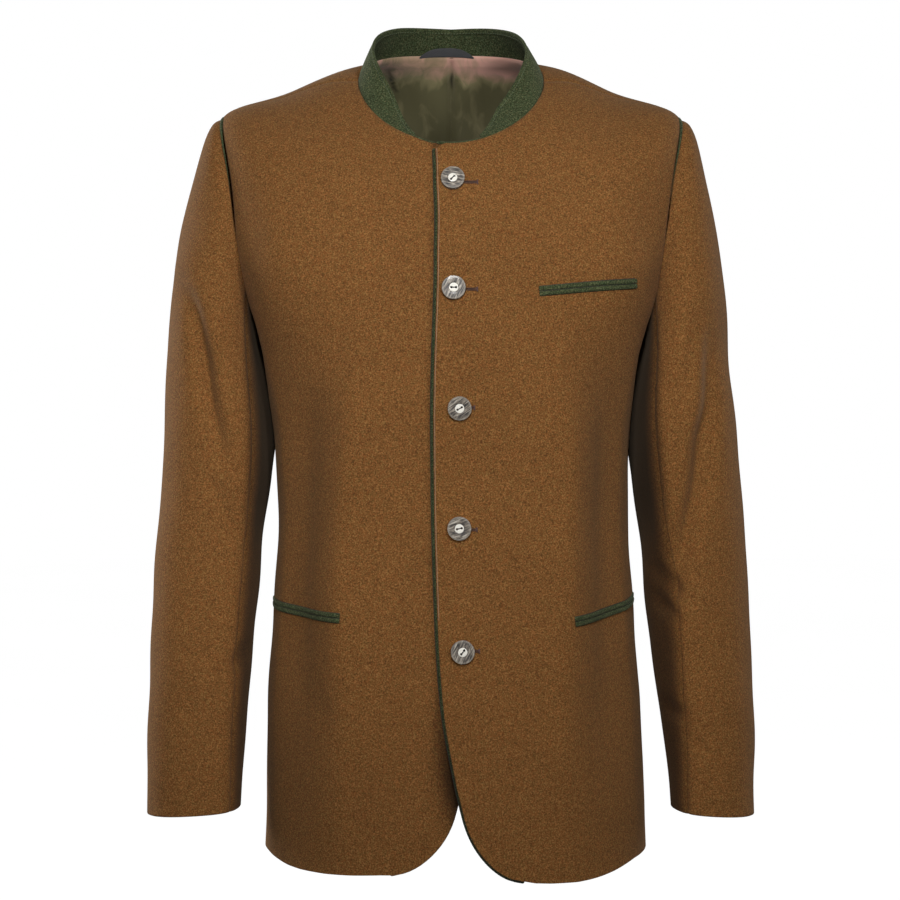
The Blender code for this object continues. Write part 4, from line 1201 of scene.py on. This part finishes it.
def stand_collar():
    points = collar_grid()
    normals = grid_normals(points)
    distances = edge_distances(points)
    near_edge = np.minimum(distances[3], np.minimum(distances[0], distances[1]) * 1.2)
    lift = soft_waves(points, WAVE_SEED + 1, 0.0003, 0.04, 0.09) * smooth_step(distances[2] / 0.01)
    lift -= COLLAR_DIP * bell(near_edge - COLLAR_STITCH_INSET, COLLAR_DIP_WIDTH)
    lift += seam_dip(distances, (2,), 0.0007, 0.0022)
    # The inner face takes the darker green copy, a painted shade.
    lay_cloth("stand_collar", points, normals, lift, COLLAR_CLOTH,
              (COLLAR_ROUND, COLLAR_ROUND, SEAMED, COLLAR_ROUND), GREEN, GREEN_PAINTED_SHADE)
    return points, normals


def collar_stitches(points, normals):
    """One row of running stitches just inside the collar's free edge, seen on both faces."""
    drop = edge_distances(points)[3]
    line, facing = [], []
    for i in range(points.shape[1]):
        if drop[0, i] < 2.2 * COLLAR_STITCH_INSET:
            continue
        order = drop[::-1, i]
        line.append(read_columns(COLLAR_STITCH_INSET, order, points[::-1, i]))
        facing.append(read_columns(COLLAR_STITCH_INSET, order, normals[::-1, i]))
    line, facing = np.array(line), unit(np.array(facing))
    outer = running_stitches(line + facing * (STITCH_HEIGHT - COLLAR_DIP), facing)
    depth = COLLAR_CLOTH + COLLAR_DIP + STITCH_HEIGHT
    inner = running_stitches(line - facing * depth, -facing)
    lay_threads("collar_stitches", outer + inner, STITCH_RADIUS, 0.00020,
                GREEN_THREAD)


def read_columns(at, knots, table):
    return np.array([np.interp(at, knots, column) for column in table.T])


def running_stitches(line, normals):
    steps = np.linalg.norm(np.diff(line, axis=0), axis=1)
    reach = np.concatenate([[0.0], np.cumsum(steps)])
    return [(read_columns(start, reach, line), read_columns(start + STITCH_LENGTH, reach, line),
             read_columns(start, reach, normals))
            for start in np.arange(STITCH_PITCH / 2, reach[-1] - STITCH_LENGTH, STITCH_PITCH)]


def lining_grid(side):
    hem_z, corner_z = FRONT_EDGES[0, 0], FRONT_EDGES[1, 0]
    low = level_at_height(0.0, corner_z - (corner_z - hem_z) * LINING_FIRST_DROP)
    levels = np.concatenate([[float(low)], ROW_LEVELS[ROW_LEVELS > low + 0.002]])
    turns = np.interp(levels, ROW_LEVELS, ROW_TURNS)
    on_armhole = (turns > 0) & (turns < 180)
    turns = np.where(on_armhole, 360 - np.degrees(np.arccos(np.clip(
        2 * (levels - UNDERARM) / (SHOULDER_END - UNDERARM) - 1, -1, 1))), 0.0)
    seam = np.where(levels <= UNDERARM, SIDE_SEAM, SHOULDER_SEAM)
    outer = np.where(on_armhole, armhole_place(turns)[0], seam)
    start = outer + (180 - outer) * LINING_COLUMN_SHARE
    end = 180 - SEAM / 2 / pace(180.0, levels)
    angles, levels = between(side * start, side * end, levels, 48)
    points = body_point(angles, levels)
    steps = LINING_OVER_SEAM * np.array((0.5, 1.0))[:, None, None]
    return np.concatenate([points, points[-1:] + collar_up(angles[-1:]) * steps])


def back_lining(name, side):
    points = lining_grid(side)
    normals = grid_normals(points, side)
    distances = edge_distances(points)
    follow = trunk_relief(points, normals)
    slits = crease_relief(points, normals, LINING_SLITS)
    depth = LODEN + SEAM - follow + lining_folds(points, distances, slits)
    depth[-3:] += COLLAR_CLOTH - LODEN
    # Painted shade darkens the silk in its slit-like folds.
    shade = SLIT_SHADE * np.clip(-slits / LINING_SLITS[0].depth, 0.0, 1.0)
    lay_cloth(name, points, normals, -depth, LINING,
              (LINING / 2, LINING / 4, LINING / 2, LINING / 2), SILK, shade=shade)


def lining_folds(points, distances, slits):
    """Loose silk stands in from the cloth in soft upright folds, and rolls to its centre seam."""
    x, z = points[..., 0], points[..., 2]
    folds = np.zeros(x.shape)
    for place, width, depth, top, drift in LINING_FOLDS:
        line = place + drift * (top - z)
        folds += depth * bell(x - line, width) * smooth_step((top - z) / 0.012)
    seam = LINING_EASE * (1 - bell(distances[1], LINING_EASE_WIDTH))
    loose = smooth_step(distances[3] / 0.010) * smooth_step(distances[0] / 0.02)
    return np.maximum(folds + seam + slits, 0.0) * loose * smooth_step((z + 0.76) / 0.05)


def neck_pipings():
    edge = edge_x(True, ring_at(NECK)[6])
    edge_angle = float(angle_of_x(NECK, edge))
    piping_angle = float(angle_of_x(NECK, edge - EDGE_PIPING_WIDTH - 3 * SEAM))
    tip_gap = math.degrees(SEAM / ring_at(NECK)[0])
    neck_piping("neck_piping_left", edge_angle, COLLAR_TIP_LEFT - tip_gap, over_front_point)
    neck_piping("neck_piping_right", tip_gap - COLLAR_TIP_RIGHT, piping_angle, under_front_point)


def neck_piping(name, start, end, surface):
    """Narrow green edge from a collar point to the front's edge."""
    angles = np.linspace(start, end, 32)
    base = surface(angles, np.full_like(angles, NECK))
    rise = SEAM + NECK_PIPING_HEIGHT * np.linspace(0, 1, 5)[:, None]
    points = base + collar_up(angles) * rise[..., None]
    lay_cloth(name, points, grid_normals(points), 0.0, LODEN,
              (LODEN / 3, LODEN / 3, SEAMED, LODEN / 2), GREEN)


EDGE_SINK = 0.0005
EDGE_ROLL_BACK = 0.0012
PIPING_ROLL_TOP_Z, PIPING_ROLL_FALL, PIPING_ROLL = -0.560, 0.120, 0.40
# Strip of pale strands along the left front's folded edge, a painted highlight.
HIGHLIGHT_END_Z, HIGHLIGHT_INSET, HIGHLIGHT_HEIGHT, HIGHLIGHT_RADIUS = -0.520, 0.0011, 0.00050, 0.00034


def end_to_end(line, facing):
    """Overlapping strands that run on along a line."""
    return list(zip(line[:-2], line[2:], facing[1:-1]))


def rolled(z):
    """Share to which the edge piping has rolled under, towards the hem."""
    return smooth_step((PIPING_ROLL_TOP_Z - z) / PIPING_ROLL_FALL)


def piping_reach(z):
    return EDGE_PIPING_WIDTH * (1 - PIPING_ROLL * rolled(z))


def front_edge_piping():
    levels = ROW_LEVELS
    angles = angle_of_x(levels, edge_x(True, ring_at(levels)[6]))
    levels = corner_levels(angles, levels)
    base = settle(over_front_point(angles, levels))
    facing = surface_normal(over_front_point, angles, levels)
    along = unit(slope(base[:, None], 0)[:, 0])
    away = unit(np.cross(facing, along))
    shares = np.linspace(0, 1, 5)
    width = SEAM + piping_reach(base[:, 2:]) * shares
    points = base[:, None] + away[:, None] * width[..., None]
    normals = np.broadcast_to(facing[:, None], points.shape)
    lift = (trunk_relief(base, facing) + lap_flare(base))[:, None] - EDGE_SINK
    lift = lift + 0.00030 * np.sin(math.pi * shares) - EDGE_ROLL_BACK * shares ** 2
    # Painted shade on the piping: darker towards the hem, where it rolls under, and towards its
    # far edge.
    lay_cloth("front_edge_piping", points, normals, lift, TRIM,
              (SEAMED, TRIM / 2, TRIM / 3, TRIM / 3), GREEN,
              shade=0.15 + 0.35 * rolled(base[:, 2:]) + 0.20 * shares)
    return base, facing, away


def edge_line(base, facing, away, inside, height):
    """Short strands end to end along the left front's edge, a little inside it."""
    inside = np.broadcast_to(inside, len(base))[:, None]
    rise = trunk_relief(base, facing) + lap_flare(base) + height
    return end_to_end(base - away * inside + facing * rise[:, None], facing)


def shoulder_piping(name, side):
    turns = np.linspace(-SHOULDER_PIPING_END, SHOULDER_PIPING_END, 60)
    seam = armhole_point(side, turns % 360)
    toward = unit(sleeve_lines(side, turns)[1] - seam)
    shares = np.linspace(0, 1, 5)
    reach = SEAM + piping_width(turns)[:, None] * shares
    points = seam[:, None] + toward[:, None] * reach[..., None]
    normals = grid_normals(points, 1)
    normals = normals * np.sign(normals[..., 2:3].mean() or 1)
    lift = soft_waves(points, WAVE_SEED, 0.0005, *WAVE_LENGTHS) - 0.0003
    lift = lift + 0.0004 * np.sin(math.pi * shares)
    lay_cloth(name, points, normals, lift, TRIM, (SEAMED,) * 4, GREEN)


def hanger_loop():
    across = np.linspace(-1, 1, 49)
    x = LOOP_CENTRE_X + LOOP_HALF_LENGTH * across
    angles = 180 - np.degrees(np.arcsin(x / ring_at(NECK)[0]))
    arch = 1 - np.abs(across) ** 3.2
    j = np.linspace(0, 1, 9)[:, None]
    height = 2 * SEAM + LOOP_RISE * arch + LOOP_WIDTH * j * (0.12 + 0.88 * arch)
    facing = collar_normal(angles)
    base = body_point(angles, np.full_like(angles, NECK))
    depth = COLLAR_CLOTH + LOOP_GAP + 0.0008 * arch
    points = base + collar_up(angles) * height[..., None] - facing * depth[..., None]
    piece = lay_cloth("hanger_loop", points,
                      np.broadcast_to(facing, points.shape), 0.0, RIBBON,
                      (RIBBON / 2,) * 4, RIBBED)
    shares = piece.data.uv_layers.new(name="along_ribbon")
    flat = np.array([corner.vertex_index for corner in piece.data.loops])
    places = np.array([v.co[:] for v in piece.data.vertices])
    shares.data.foreach_set("uv", np.stack(
        [places[flat, 0] / LOOP_HALF_LENGTH, places[flat, 2] / LOOP_WIDTH], -1).ravel())


# ---- pockets
JET_LAID = 0.00015
LIP_GAP = 0.0011
LIP_SINK_ANGLES = (74.0, 88.0)
STEP_ANGLE, STEP_LEVEL = 0.25, 5e-4
SLIT_HEIGHT, LIP_SEAM_GAP, LIP_SEAM_HEIGHT = 0.0006, 0.0004, 0.0001
POCKET_END, POCKET_END_STEP = 0.004, 0.002


def beside_slit(pocket, share, aside):
    """Points on the front at a share along a pocket's slit and a distance square to it."""
    start_angle, start_z, end_angle, end_z = POCKETS[pocket]
    surface = over_front_point if start_angle > 0 else under_front_point
    angles = start_angle + (end_angle - start_angle) * share
    levels = level_at_height(angles, start_z + (end_z - start_z) * share)
    here = body_point(angles, levels)
    along_angle = (body_point(angles + STEP_ANGLE, levels) - here) / STEP_ANGLE
    along_level = (body_point(angles, levels + STEP_LEVEL) - here) / STEP_LEVEL
    facing = unit(np.cross(along_angle, along_level))
    line = unit(np.gradient(here, axis=0))
    line = line * np.where(line[..., 0:1] < 0, -1, 1)
    square = unit(np.cross(facing, line))
    aa, ll = (along_angle ** 2).sum(-1), (along_level ** 2).sum(-1)
    al = (along_angle * along_level).sum(-1)
    da, dl = (square * along_angle).sum(-1), (square * along_level).sum(-1)
    spread = aa * ll - al * al
    angles = angles + aside * ((da * ll - dl * al) / spread)
    levels = levels + aside * ((dl * aa - da * al) / spread)
    facing = surface_normal(body_point, angles, levels)
    points = surface(angles, levels)
    side_end = smooth_step((np.abs(angles) - LIP_SINK_ANGLES[0])
                           / (LIP_SINK_ANGLES[1] - LIP_SINK_ANGLES[0]))
    return settle(points), facing, trunk_relief(points, facing), side_end


def jet(name, pocket, upper):
    share = graded(80, (0.004, 0.008))
    across = np.linspace(0, 1, 11)
    side = 1 if upper else -1
    rows = []
    for part in across if upper else 1 - across:
        points, facing, lift, side_end = beside_slit(
            pocket, share, side * (LIP_GAP / 2 + (JET_HEIGHT - LIP_GAP / 2) * part))
        rise = JET_LAID + TRIM + JET_ROUND * math.sqrt(math.sin(math.pi * (0.04 + 0.92 * part)))
        rows.append((points + facing * (lift + rise - side_end * TRIM)[:, None], facing))
    points, facing = (np.stack(column) for column in zip(*rows))
    lay_cloth(name, points, facing, 0.0, TRIM, (TRIM / 3,) * 4, GREEN)


def pocket_lines(pocket):
    """Dark strands: painted shade in the slit between the lips, and seam lines darkened as painted
    shadow where the lips meet the front and across the pocket ends.
    """
    share = np.linspace(POCKET_END, 1 - POCKET_END, 60)
    seam = JET_HEIGHT + LIP_SEAM_GAP
    lines = []
    for aside, height in ((0.0, SLIT_HEIGHT), (seam, LIP_SEAM_HEIGHT), (-seam, LIP_SEAM_HEIGHT)):
        points, facing, lift, side_end = beside_slit(pocket, share, aside)
        lines.append((points + facing * (lift + height - side_end * TRIM)[:, None], facing))
    for end in (POCKET_END, 1 - POCKET_END):
        near = end + POCKET_END_STEP * np.array((-1, 0, 1))
        made = [beside_slit(pocket, near, aside)
                for aside in np.linspace(-JET_HEIGHT, JET_HEIGHT, 5)]
        lines.append((np.stack([p[1] + f[1] * (l[1] + LIP_SEAM_HEIGHT) for p, f, l, _ in made]),
                      np.stack([f[1] for _, f, _, _ in made])))
    return [strand for points, facing in lines for strand in end_to_end(points, facing)]


# ---- buttons and buttonholes
BUTTON_DISH_RADIUS = 0.0043
BUTTON_DISH_DEPTH = 0.0007
BUTTON_BEVEL = 0.0010
DISH_WALL, DISH_STEP, DISH_FLOOR = 0.0003, 0.0004, 0.0008
HOLE_RADIUS = 0.0011
HOLE_SPACING = 0.0044
STRANDS_ACROSS = ((-0.00035, 0.0), (0.00035, 0.0), (0.0, 0.0003))
STRAND_OVER, STRAND_LIFT, STRAND_ASIDE = 0.0002, 0.0001, 0.0004


def place_on_front(x, z):
    """Angle and level on the left front at places of the front view."""
    x, z = np.broadcast_arrays(np.asarray(x, float), np.asarray(z, float))
    level = level_at_height(np.zeros_like(x), z)
    for _ in range(8):
        angle = angle_of_x(level, x)
        level = level_at_height(angle, z)
    return angle, level


def on_front(x, z, height):
    """Points a little above the left front's cloth, and the cloth's normals there."""
    angle, level = place_on_front(x, z)
    points = over_front_point(angle, level)
    facing = surface_normal(over_front_point, angle, level)
    return points + facing * (trunk_relief(points, facing) + height)[..., None], facing


def pick(mesh, chosen):
    for item in mesh.verts[:] + mesh.edges[:] + mesh.faces[:]:
        item.select = False
    for item in chosen(mesh):
        item.select = True
    mesh.select_flush(True)


def button_shape():
    """A turned antler disc: bevelled rim, dished middle, two thread holes."""
    bpy.ops.object.select_all(action="DESELECT")
    bpy.ops.mesh.primitive_cylinder_add(vertices=64, radius=BUTTON_RADIUS, depth=BUTTON_THICKNESS,
                                        location=(0, 0, BUTTON_THICKNESS / 2))
    disc = bpy.context.object
    bpy.ops.object.transform_apply(location=True)
    bpy.ops.object.mode_set(mode="EDIT")
    bpy.ops.mesh.select_mode(type="FACE")
    shape = bmesh.from_edit_mesh(disc.data)
    pick(shape, lambda m: [f for f in m.faces if f.normal.z > 0.9])
    bmesh.update_edit_mesh(disc.data)
    for inset, rise in ((BUTTON_RADIUS - BUTTON_DISH_RADIUS - DISH_WALL, 0.0),
                        (DISH_WALL, -BUTTON_DISH_DEPTH), (DISH_STEP, BUTTON_DISH_DEPTH * 0.4),
                        (DISH_FLOOR, 0.0)):
        bpy.ops.mesh.inset(thickness=inset, depth=rise)
    bpy.ops.object.mode_set(mode="OBJECT")
    bevel = disc.modifiers.new("rim", "BEVEL")
    bevel.width = BUTTON_BEVEL
    bevel.segments = 4
    bevel.limit_method = "ANGLE"
    bevel.angle_limit = math.radians(60)
    bpy.ops.object.modifier_apply(modifier="rim")
    for end in (-1, 1):
        bpy.ops.object.select_all(action="DESELECT")
        bpy.ops.mesh.primitive_cylinder_add(
            vertices=20, radius=HOLE_RADIUS, depth=4 * BUTTON_THICKNESS,
            location=(end * HOLE_SPACING / 2, 0, BUTTON_THICKNESS / 2))
        drill = bpy.context.object
        bpy.ops.object.select_all(action="DESELECT")
        bpy.context.view_layer.objects.active = disc
        disc.select_set(True)
        hole = disc.modifiers.new("hole", "BOOLEAN")
        hole.operation = "DIFFERENCE"
        hole.solver = "EXACT"
        hole.object = drill
        bpy.ops.object.modifier_apply(modifier="hole")
        bpy.data.objects.remove(drill, do_unlink=True)
    bpy.ops.object.shade_smooth_by_angle(angle=math.radians(35))
    mesh = disc.data
    for layer in list(mesh.uv_layers):
        mesh.uv_layers.remove(layer)
    sawn = mesh.uv_layers.new(name="sawn_face")
    corners = np.array([mesh.vertices[c.vertex_index].co[:2] for c in mesh.loops])
    sawn.data.foreach_set("uv", (corners / BUTTON_RADIUS).ravel())
    bpy.data.objects.remove(disc, do_unlink=True)
    return mesh


def turned_frame(point, normal, turn):
    """Button-local axes standing on the cloth, turned in its face."""
    normal = Vector(normal)
    up = (Vector((0, 0, 1)) - normal * normal.z).normalized()
    across = up.cross(normal).normalized()
    (c, s), _ = turned_by(turn)
    return np.array((across * c + up * s, up * c - across * s, normal)), np.array(point)


def turned_by(turn):
    """Rows that turn flat points by an angle in degrees."""
    c, s = math.cos(math.radians(turn)), math.sin(math.radians(turn))
    return np.array(((c, s), (-s, c)))


def button_base(node):
    """Where the button's underside meets the cloth, in the front view."""
    middle = np.mean(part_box(node), axis=0)
    _, normal = on_front(middle[0], middle[2], 0.0)
    foot = middle - normal * BUTTON_THICKNESS / 2
    return foot[0], foot[2]


def button_place(node):
    point, normal = on_front(*button_base(node), JET_LAID)
    return turned_frame(point, normal, BUTTONS[node][0])


def add_button(node, shape, grain_turn, seed):
    axes, point = button_place(node)
    mesh = shape.copy()
    mesh.name = node
    places = np.array([v.co[:] for v in mesh.vertices]) @ axes + point
    mesh.vertices.foreach_set("co", places.ravel())
    uv = np.empty(len(mesh.loops) * 2)
    mesh.uv_layers[0].data.foreach_get("uv", uv)
    mesh.uv_layers[0].data.foreach_set("uv", (uv.reshape(-1, 2) @ turned_by(-grain_turn)).ravel())
    layer = mesh.attributes.new("antler_seed", "FLOAT_VECTOR", "POINT")
    layer.data.foreach_set("vector", np.tile((seed * 3.7, seed * 1.9, seed), len(mesh.vertices)))
    mesh.materials.append(ANTLER)
    mesh.update()
    stand_for(add_piece(node, mesh), node)


def button_threads(node):
    """Strands from hole to hole in the dish, and down through each hole."""
    axes, point = button_place(node)
    dish = BUTTON_THICKNESS - BUTTON_DISH_DEPTH * 0.6
    reach = HOLE_SPACING / 2

    def strand(low, high, facing):
        return np.array(low) @ axes + point, np.array(high) @ axes + point, axes[facing]

    over = reach + STRAND_OVER
    across = [strand((-over, y, dish + z), (over, -y * 0.6, dish + z), 2)
              for y, z in STRANDS_ACROSS]
    return across + [
        strand((end * reach, y, dish + STRAND_LIFT), (end * reach, y, STRAND_LIFT), 0)
        for end in (-1, 1) for y in (-STRAND_ASIDE, STRAND_ASIDE)]


BUTTONHOLE_START = 0.0060
PURL_PITCH, PURL_DEPTH, PURL_START, PURL_LEAN = 0.00075, 0.0015, 0.00022, 0.0002
PURL_UNEVEN, PURL_LIFT, SLIT_LIFT = 0.0001, 0.0003, 0.00005
BAR_HEIGHT, BAR_PITCH = 0.0048, 0.0004


def buttonhole_stitches(x, z, hole_end):
    along = np.arange(BUTTONHOLE_START, hole_end, PURL_PITCH) + x
    chance = np.random.default_rng(int(abs(z) * 1e5))
    stitches = []
    for row in (-1, 1):
        outer = (PURL_DEPTH + chance.uniform(-PURL_UNEVEN, PURL_UNEVEN, len(along))) * row
        starts, normals = on_front(along, z + PURL_START * row, PURL_LIFT)
        ends, _ = on_front(along + PURL_LEAN, z + outer, PURL_LIFT / 3)
        stitches += list(zip(starts, ends, normals))
    for k in (-1, 0, 1):
        bar_x = x + hole_end + BAR_PITCH * k
        ends, normals = on_front(np.array((bar_x, bar_x)),
                                 z + BAR_HEIGHT / 2 * np.array((-1, 1)), PURL_LIFT)
        stitches.append((ends[0], ends[1], normals[0]))
    return stitches


# Dark strands along the buttonhole's cut stand for the shade in the slit: painted shade.
def buttonhole_slit_shade(x, z, hole_end):
    along = np.linspace(BUTTONHOLE_START, hole_end, 8) + x
    points, normals = on_front(along, np.full_like(along, z), SLIT_LIFT)
    return list(zip(points[:-1], points[1:], normals[:-1]))


# ---- build
SIDES = (("left", 1), ("right", -1))
for panel in ("front_", "back_"):
    for word, side in SIDES:
        trunk_panel(panel + word, side)
for word, side in SIDES:
    sleeve_panel("sleeve_" + word + "_top", side, False)
    sleeve_panel("sleeve_" + word + "_under", side, True)
    shoulder_piping("shoulder_piping_" + word, side)
    back_lining("back_lining_" + word, side)
collar_stitches(*stand_collar())
neck_pipings()
edge = front_edge_piping()
# A painted highlight: pale strands along the left front's folded edge, down to pocket height.
highlight_strands = [strand for strand in edge_line(*edge, HIGHLIGHT_INSET, HIGHLIGHT_HEIGHT)
        if strand[0][2] > HIGHLIGHT_END_Z]
lay_threads("edge_painted_highlight", highlight_strands, HIGHLIGHT_RADIUS, 0.0, EDGE_HIGHLIGHT_THREAD)
# Dark strands: one along the seam where the piping meets the left front, and one beyond the
# piping's far edge, sunk below it, as a painted shadow on the right front.
far_side = -SEAM - piping_reach(edge[0][:, 2]) - 0.0002
lay_threads("edge_seam_and_painted_shadow",
            edge_line(*edge, 0.0, -0.00010) + edge_line(*edge, far_side, -0.0022),
            0.00045, 0.0, DARK_THREAD_AND_SHADE)
hanger_loop()
pocket_seams_and_painted_shade = []
for pocket in POCKETS:
    jet(pocket + "_upper", pocket, True)
    jet(pocket + "_lower", pocket, False)
    pocket_seams_and_painted_shade += pocket_lines(pocket)
lay_threads("pocket_seams_and_painted_shade", pocket_seams_and_painted_shade, 0.00050, 0.0, DARK_THREAD_AND_SHADE)
button_mesh = button_shape()
strands, purls, slits = [], [], []
for number, (node, (_, grain_turn, hole_end, drop)) in enumerate(BUTTONS.items(), 1):
    add_button(node, button_mesh, grain_turn, number)
    strands += button_threads(node)
    x, z = button_base(node)
    purls += buttonhole_stitches(x, z - drop, hole_end)
    slits += buttonhole_slit_shade(x, z - drop, hole_end)
bpy.data.meshes.remove(button_mesh)
lay_threads("button_threads", strands, 0.00046, 0.0002, DARK_THREAD_AND_SHADE)
lay_threads("buttonhole_stitches", purls, 0.00036, 0.0003, PLUM_THREAD)
lay_threads("buttonhole_slit_shade", slits, 0.00030, 0.0, DARK_THREAD_AND_SHADE)


# ---- setting
FLOOR_Z, FLOOR_HALF = -1.15, 9.0


def pale_floor():
    """Plain pale floor under the hung jacket."""
    made, tree, shader = start_material("pale_floor")
    faint = noise(tree, object_place(tree), 1.5, 1.0)
    colour = ramp(tree, faint, ((0.3, (0.995, 0.995, 0.995)), (0.7, (1.0, 1.0, 1.0))))
    seen = tree.nodes.new("ShaderNodeLightPath").outputs["Is Camera Ray"]
    join(tree, (colour, shader.inputs["Emission Color"]),
         (seen, shader.inputs["Emission Strength"]))
    set_sockets(shader, Base_Color=(0.12, 0.12, 0.12), Specular_IOR_Level=0.0, Roughness=0.9)
    mesh = bpy.data.meshes.new("floor")
    mesh.from_pydata([(FLOOR_HALF * x, FLOOR_HALF * y, FLOOR_Z)
                      for x, y in ((-1, -1), (1, -1), (1, 1), (-1, 1))], [], [(0, 1, 2, 3)])
    mesh.materials.append(made)
    add_piece("floor", mesh)


MIDDLE = (0.0, 0.0, -0.35)
# name place target width height power
SOFT_BOXES = (
    ("left_front", (-0.9, -2.9, 0.3), (0.0, -0.1, -0.25), 0.4, 0.4, 16.4),
    ("right_front", (1.1, -2.3, 0.4), MIDDLE, 0.5, 0.8, 21.4),
    ("left_side", (-2.0, -1.2, 0.2), MIDDLE, 0.6, 1.2, 2.3),
    ("left_rim", (-1.9, 1.1, 0.2), MIDDLE, 0.8, 1.2, 31.6),
    ("right_rim", (1.9, 1.1, 0.2), MIDDLE, 0.8, 1.2, 12.7),
    ("top", (0.0, -0.6, 2.2), (0.0, 0.0, -0.1), 1.2, 0.8, 2.6),
)
# name place target radius cone power
SPOTS = (
    ("key", (0.0, -2.4, 1.0), (0.0, -0.1, -0.19), 0.25, 25.5, 116.0),
    ("left_sleeve", (-1.3, -2.3, 0.1), (-0.31, 0.0, -0.42), 0.2, 12.0, 61.0),
)


def add_lamp(name, kind, place, target, **settings):
    lamp = bpy.data.lights.new(name, kind)
    for key, value in settings.items():
        setattr(lamp, key, value)
    made = add_object(name, lamp)
    made.location = place
    aim = Vector(target) - Vector(place)
    made.rotation_euler = aim.to_track_quat("-Z", "Y").to_euler()


def set_world(fill):
    """Faint fill light, with a plain white surround behind the jacket."""
    world = bpy.data.worlds.new("studio")
    world.use_nodes = True
    tree = world.node_tree
    shade = tree.nodes["Background"]
    set_sockets(shade, Color=(1.0, 1.0, 1.0))
    seen = tree.nodes.new("ShaderNodeLightPath").outputs["Is Camera Ray"]
    join(tree, (calculate(tree, "MAXIMUM", seen, fill), shade.inputs["Strength"]))
    bpy.context.scene.world = world


FILL = 0.004
LENS, SENSOR = 134.7, 36.0
CAMERA_PLACE, CAMERA_DIP = (-0.001, -3.2, -0.226), 2.5


def add_camera():
    lens = bpy.data.cameras.new("camera")
    lens.lens, lens.sensor_width = LENS, SENSOR
    made = add_object("camera", lens)
    made.location = CAMERA_PLACE
    made.rotation_euler = (math.radians(90 - CAMERA_DIP), 0, 0)
    bpy.context.scene.camera = made


pale_floor()
for name, place, target, width, height, power in SOFT_BOXES:
    add_lamp(name, "AREA", place, target, energy=power, shape="RECTANGLE", size=width,
             size_y=height)
for name, place, target, radius, cone, power in SPOTS:
    add_lamp(name, "SPOT", place, target, energy=power, shadow_soft_size=radius,
             spot_size=math.radians(cone), spot_blend=1.0)
set_world(FILL)
add_camera()
bpy.context.scene.view_settings.view_transform = "Standard"
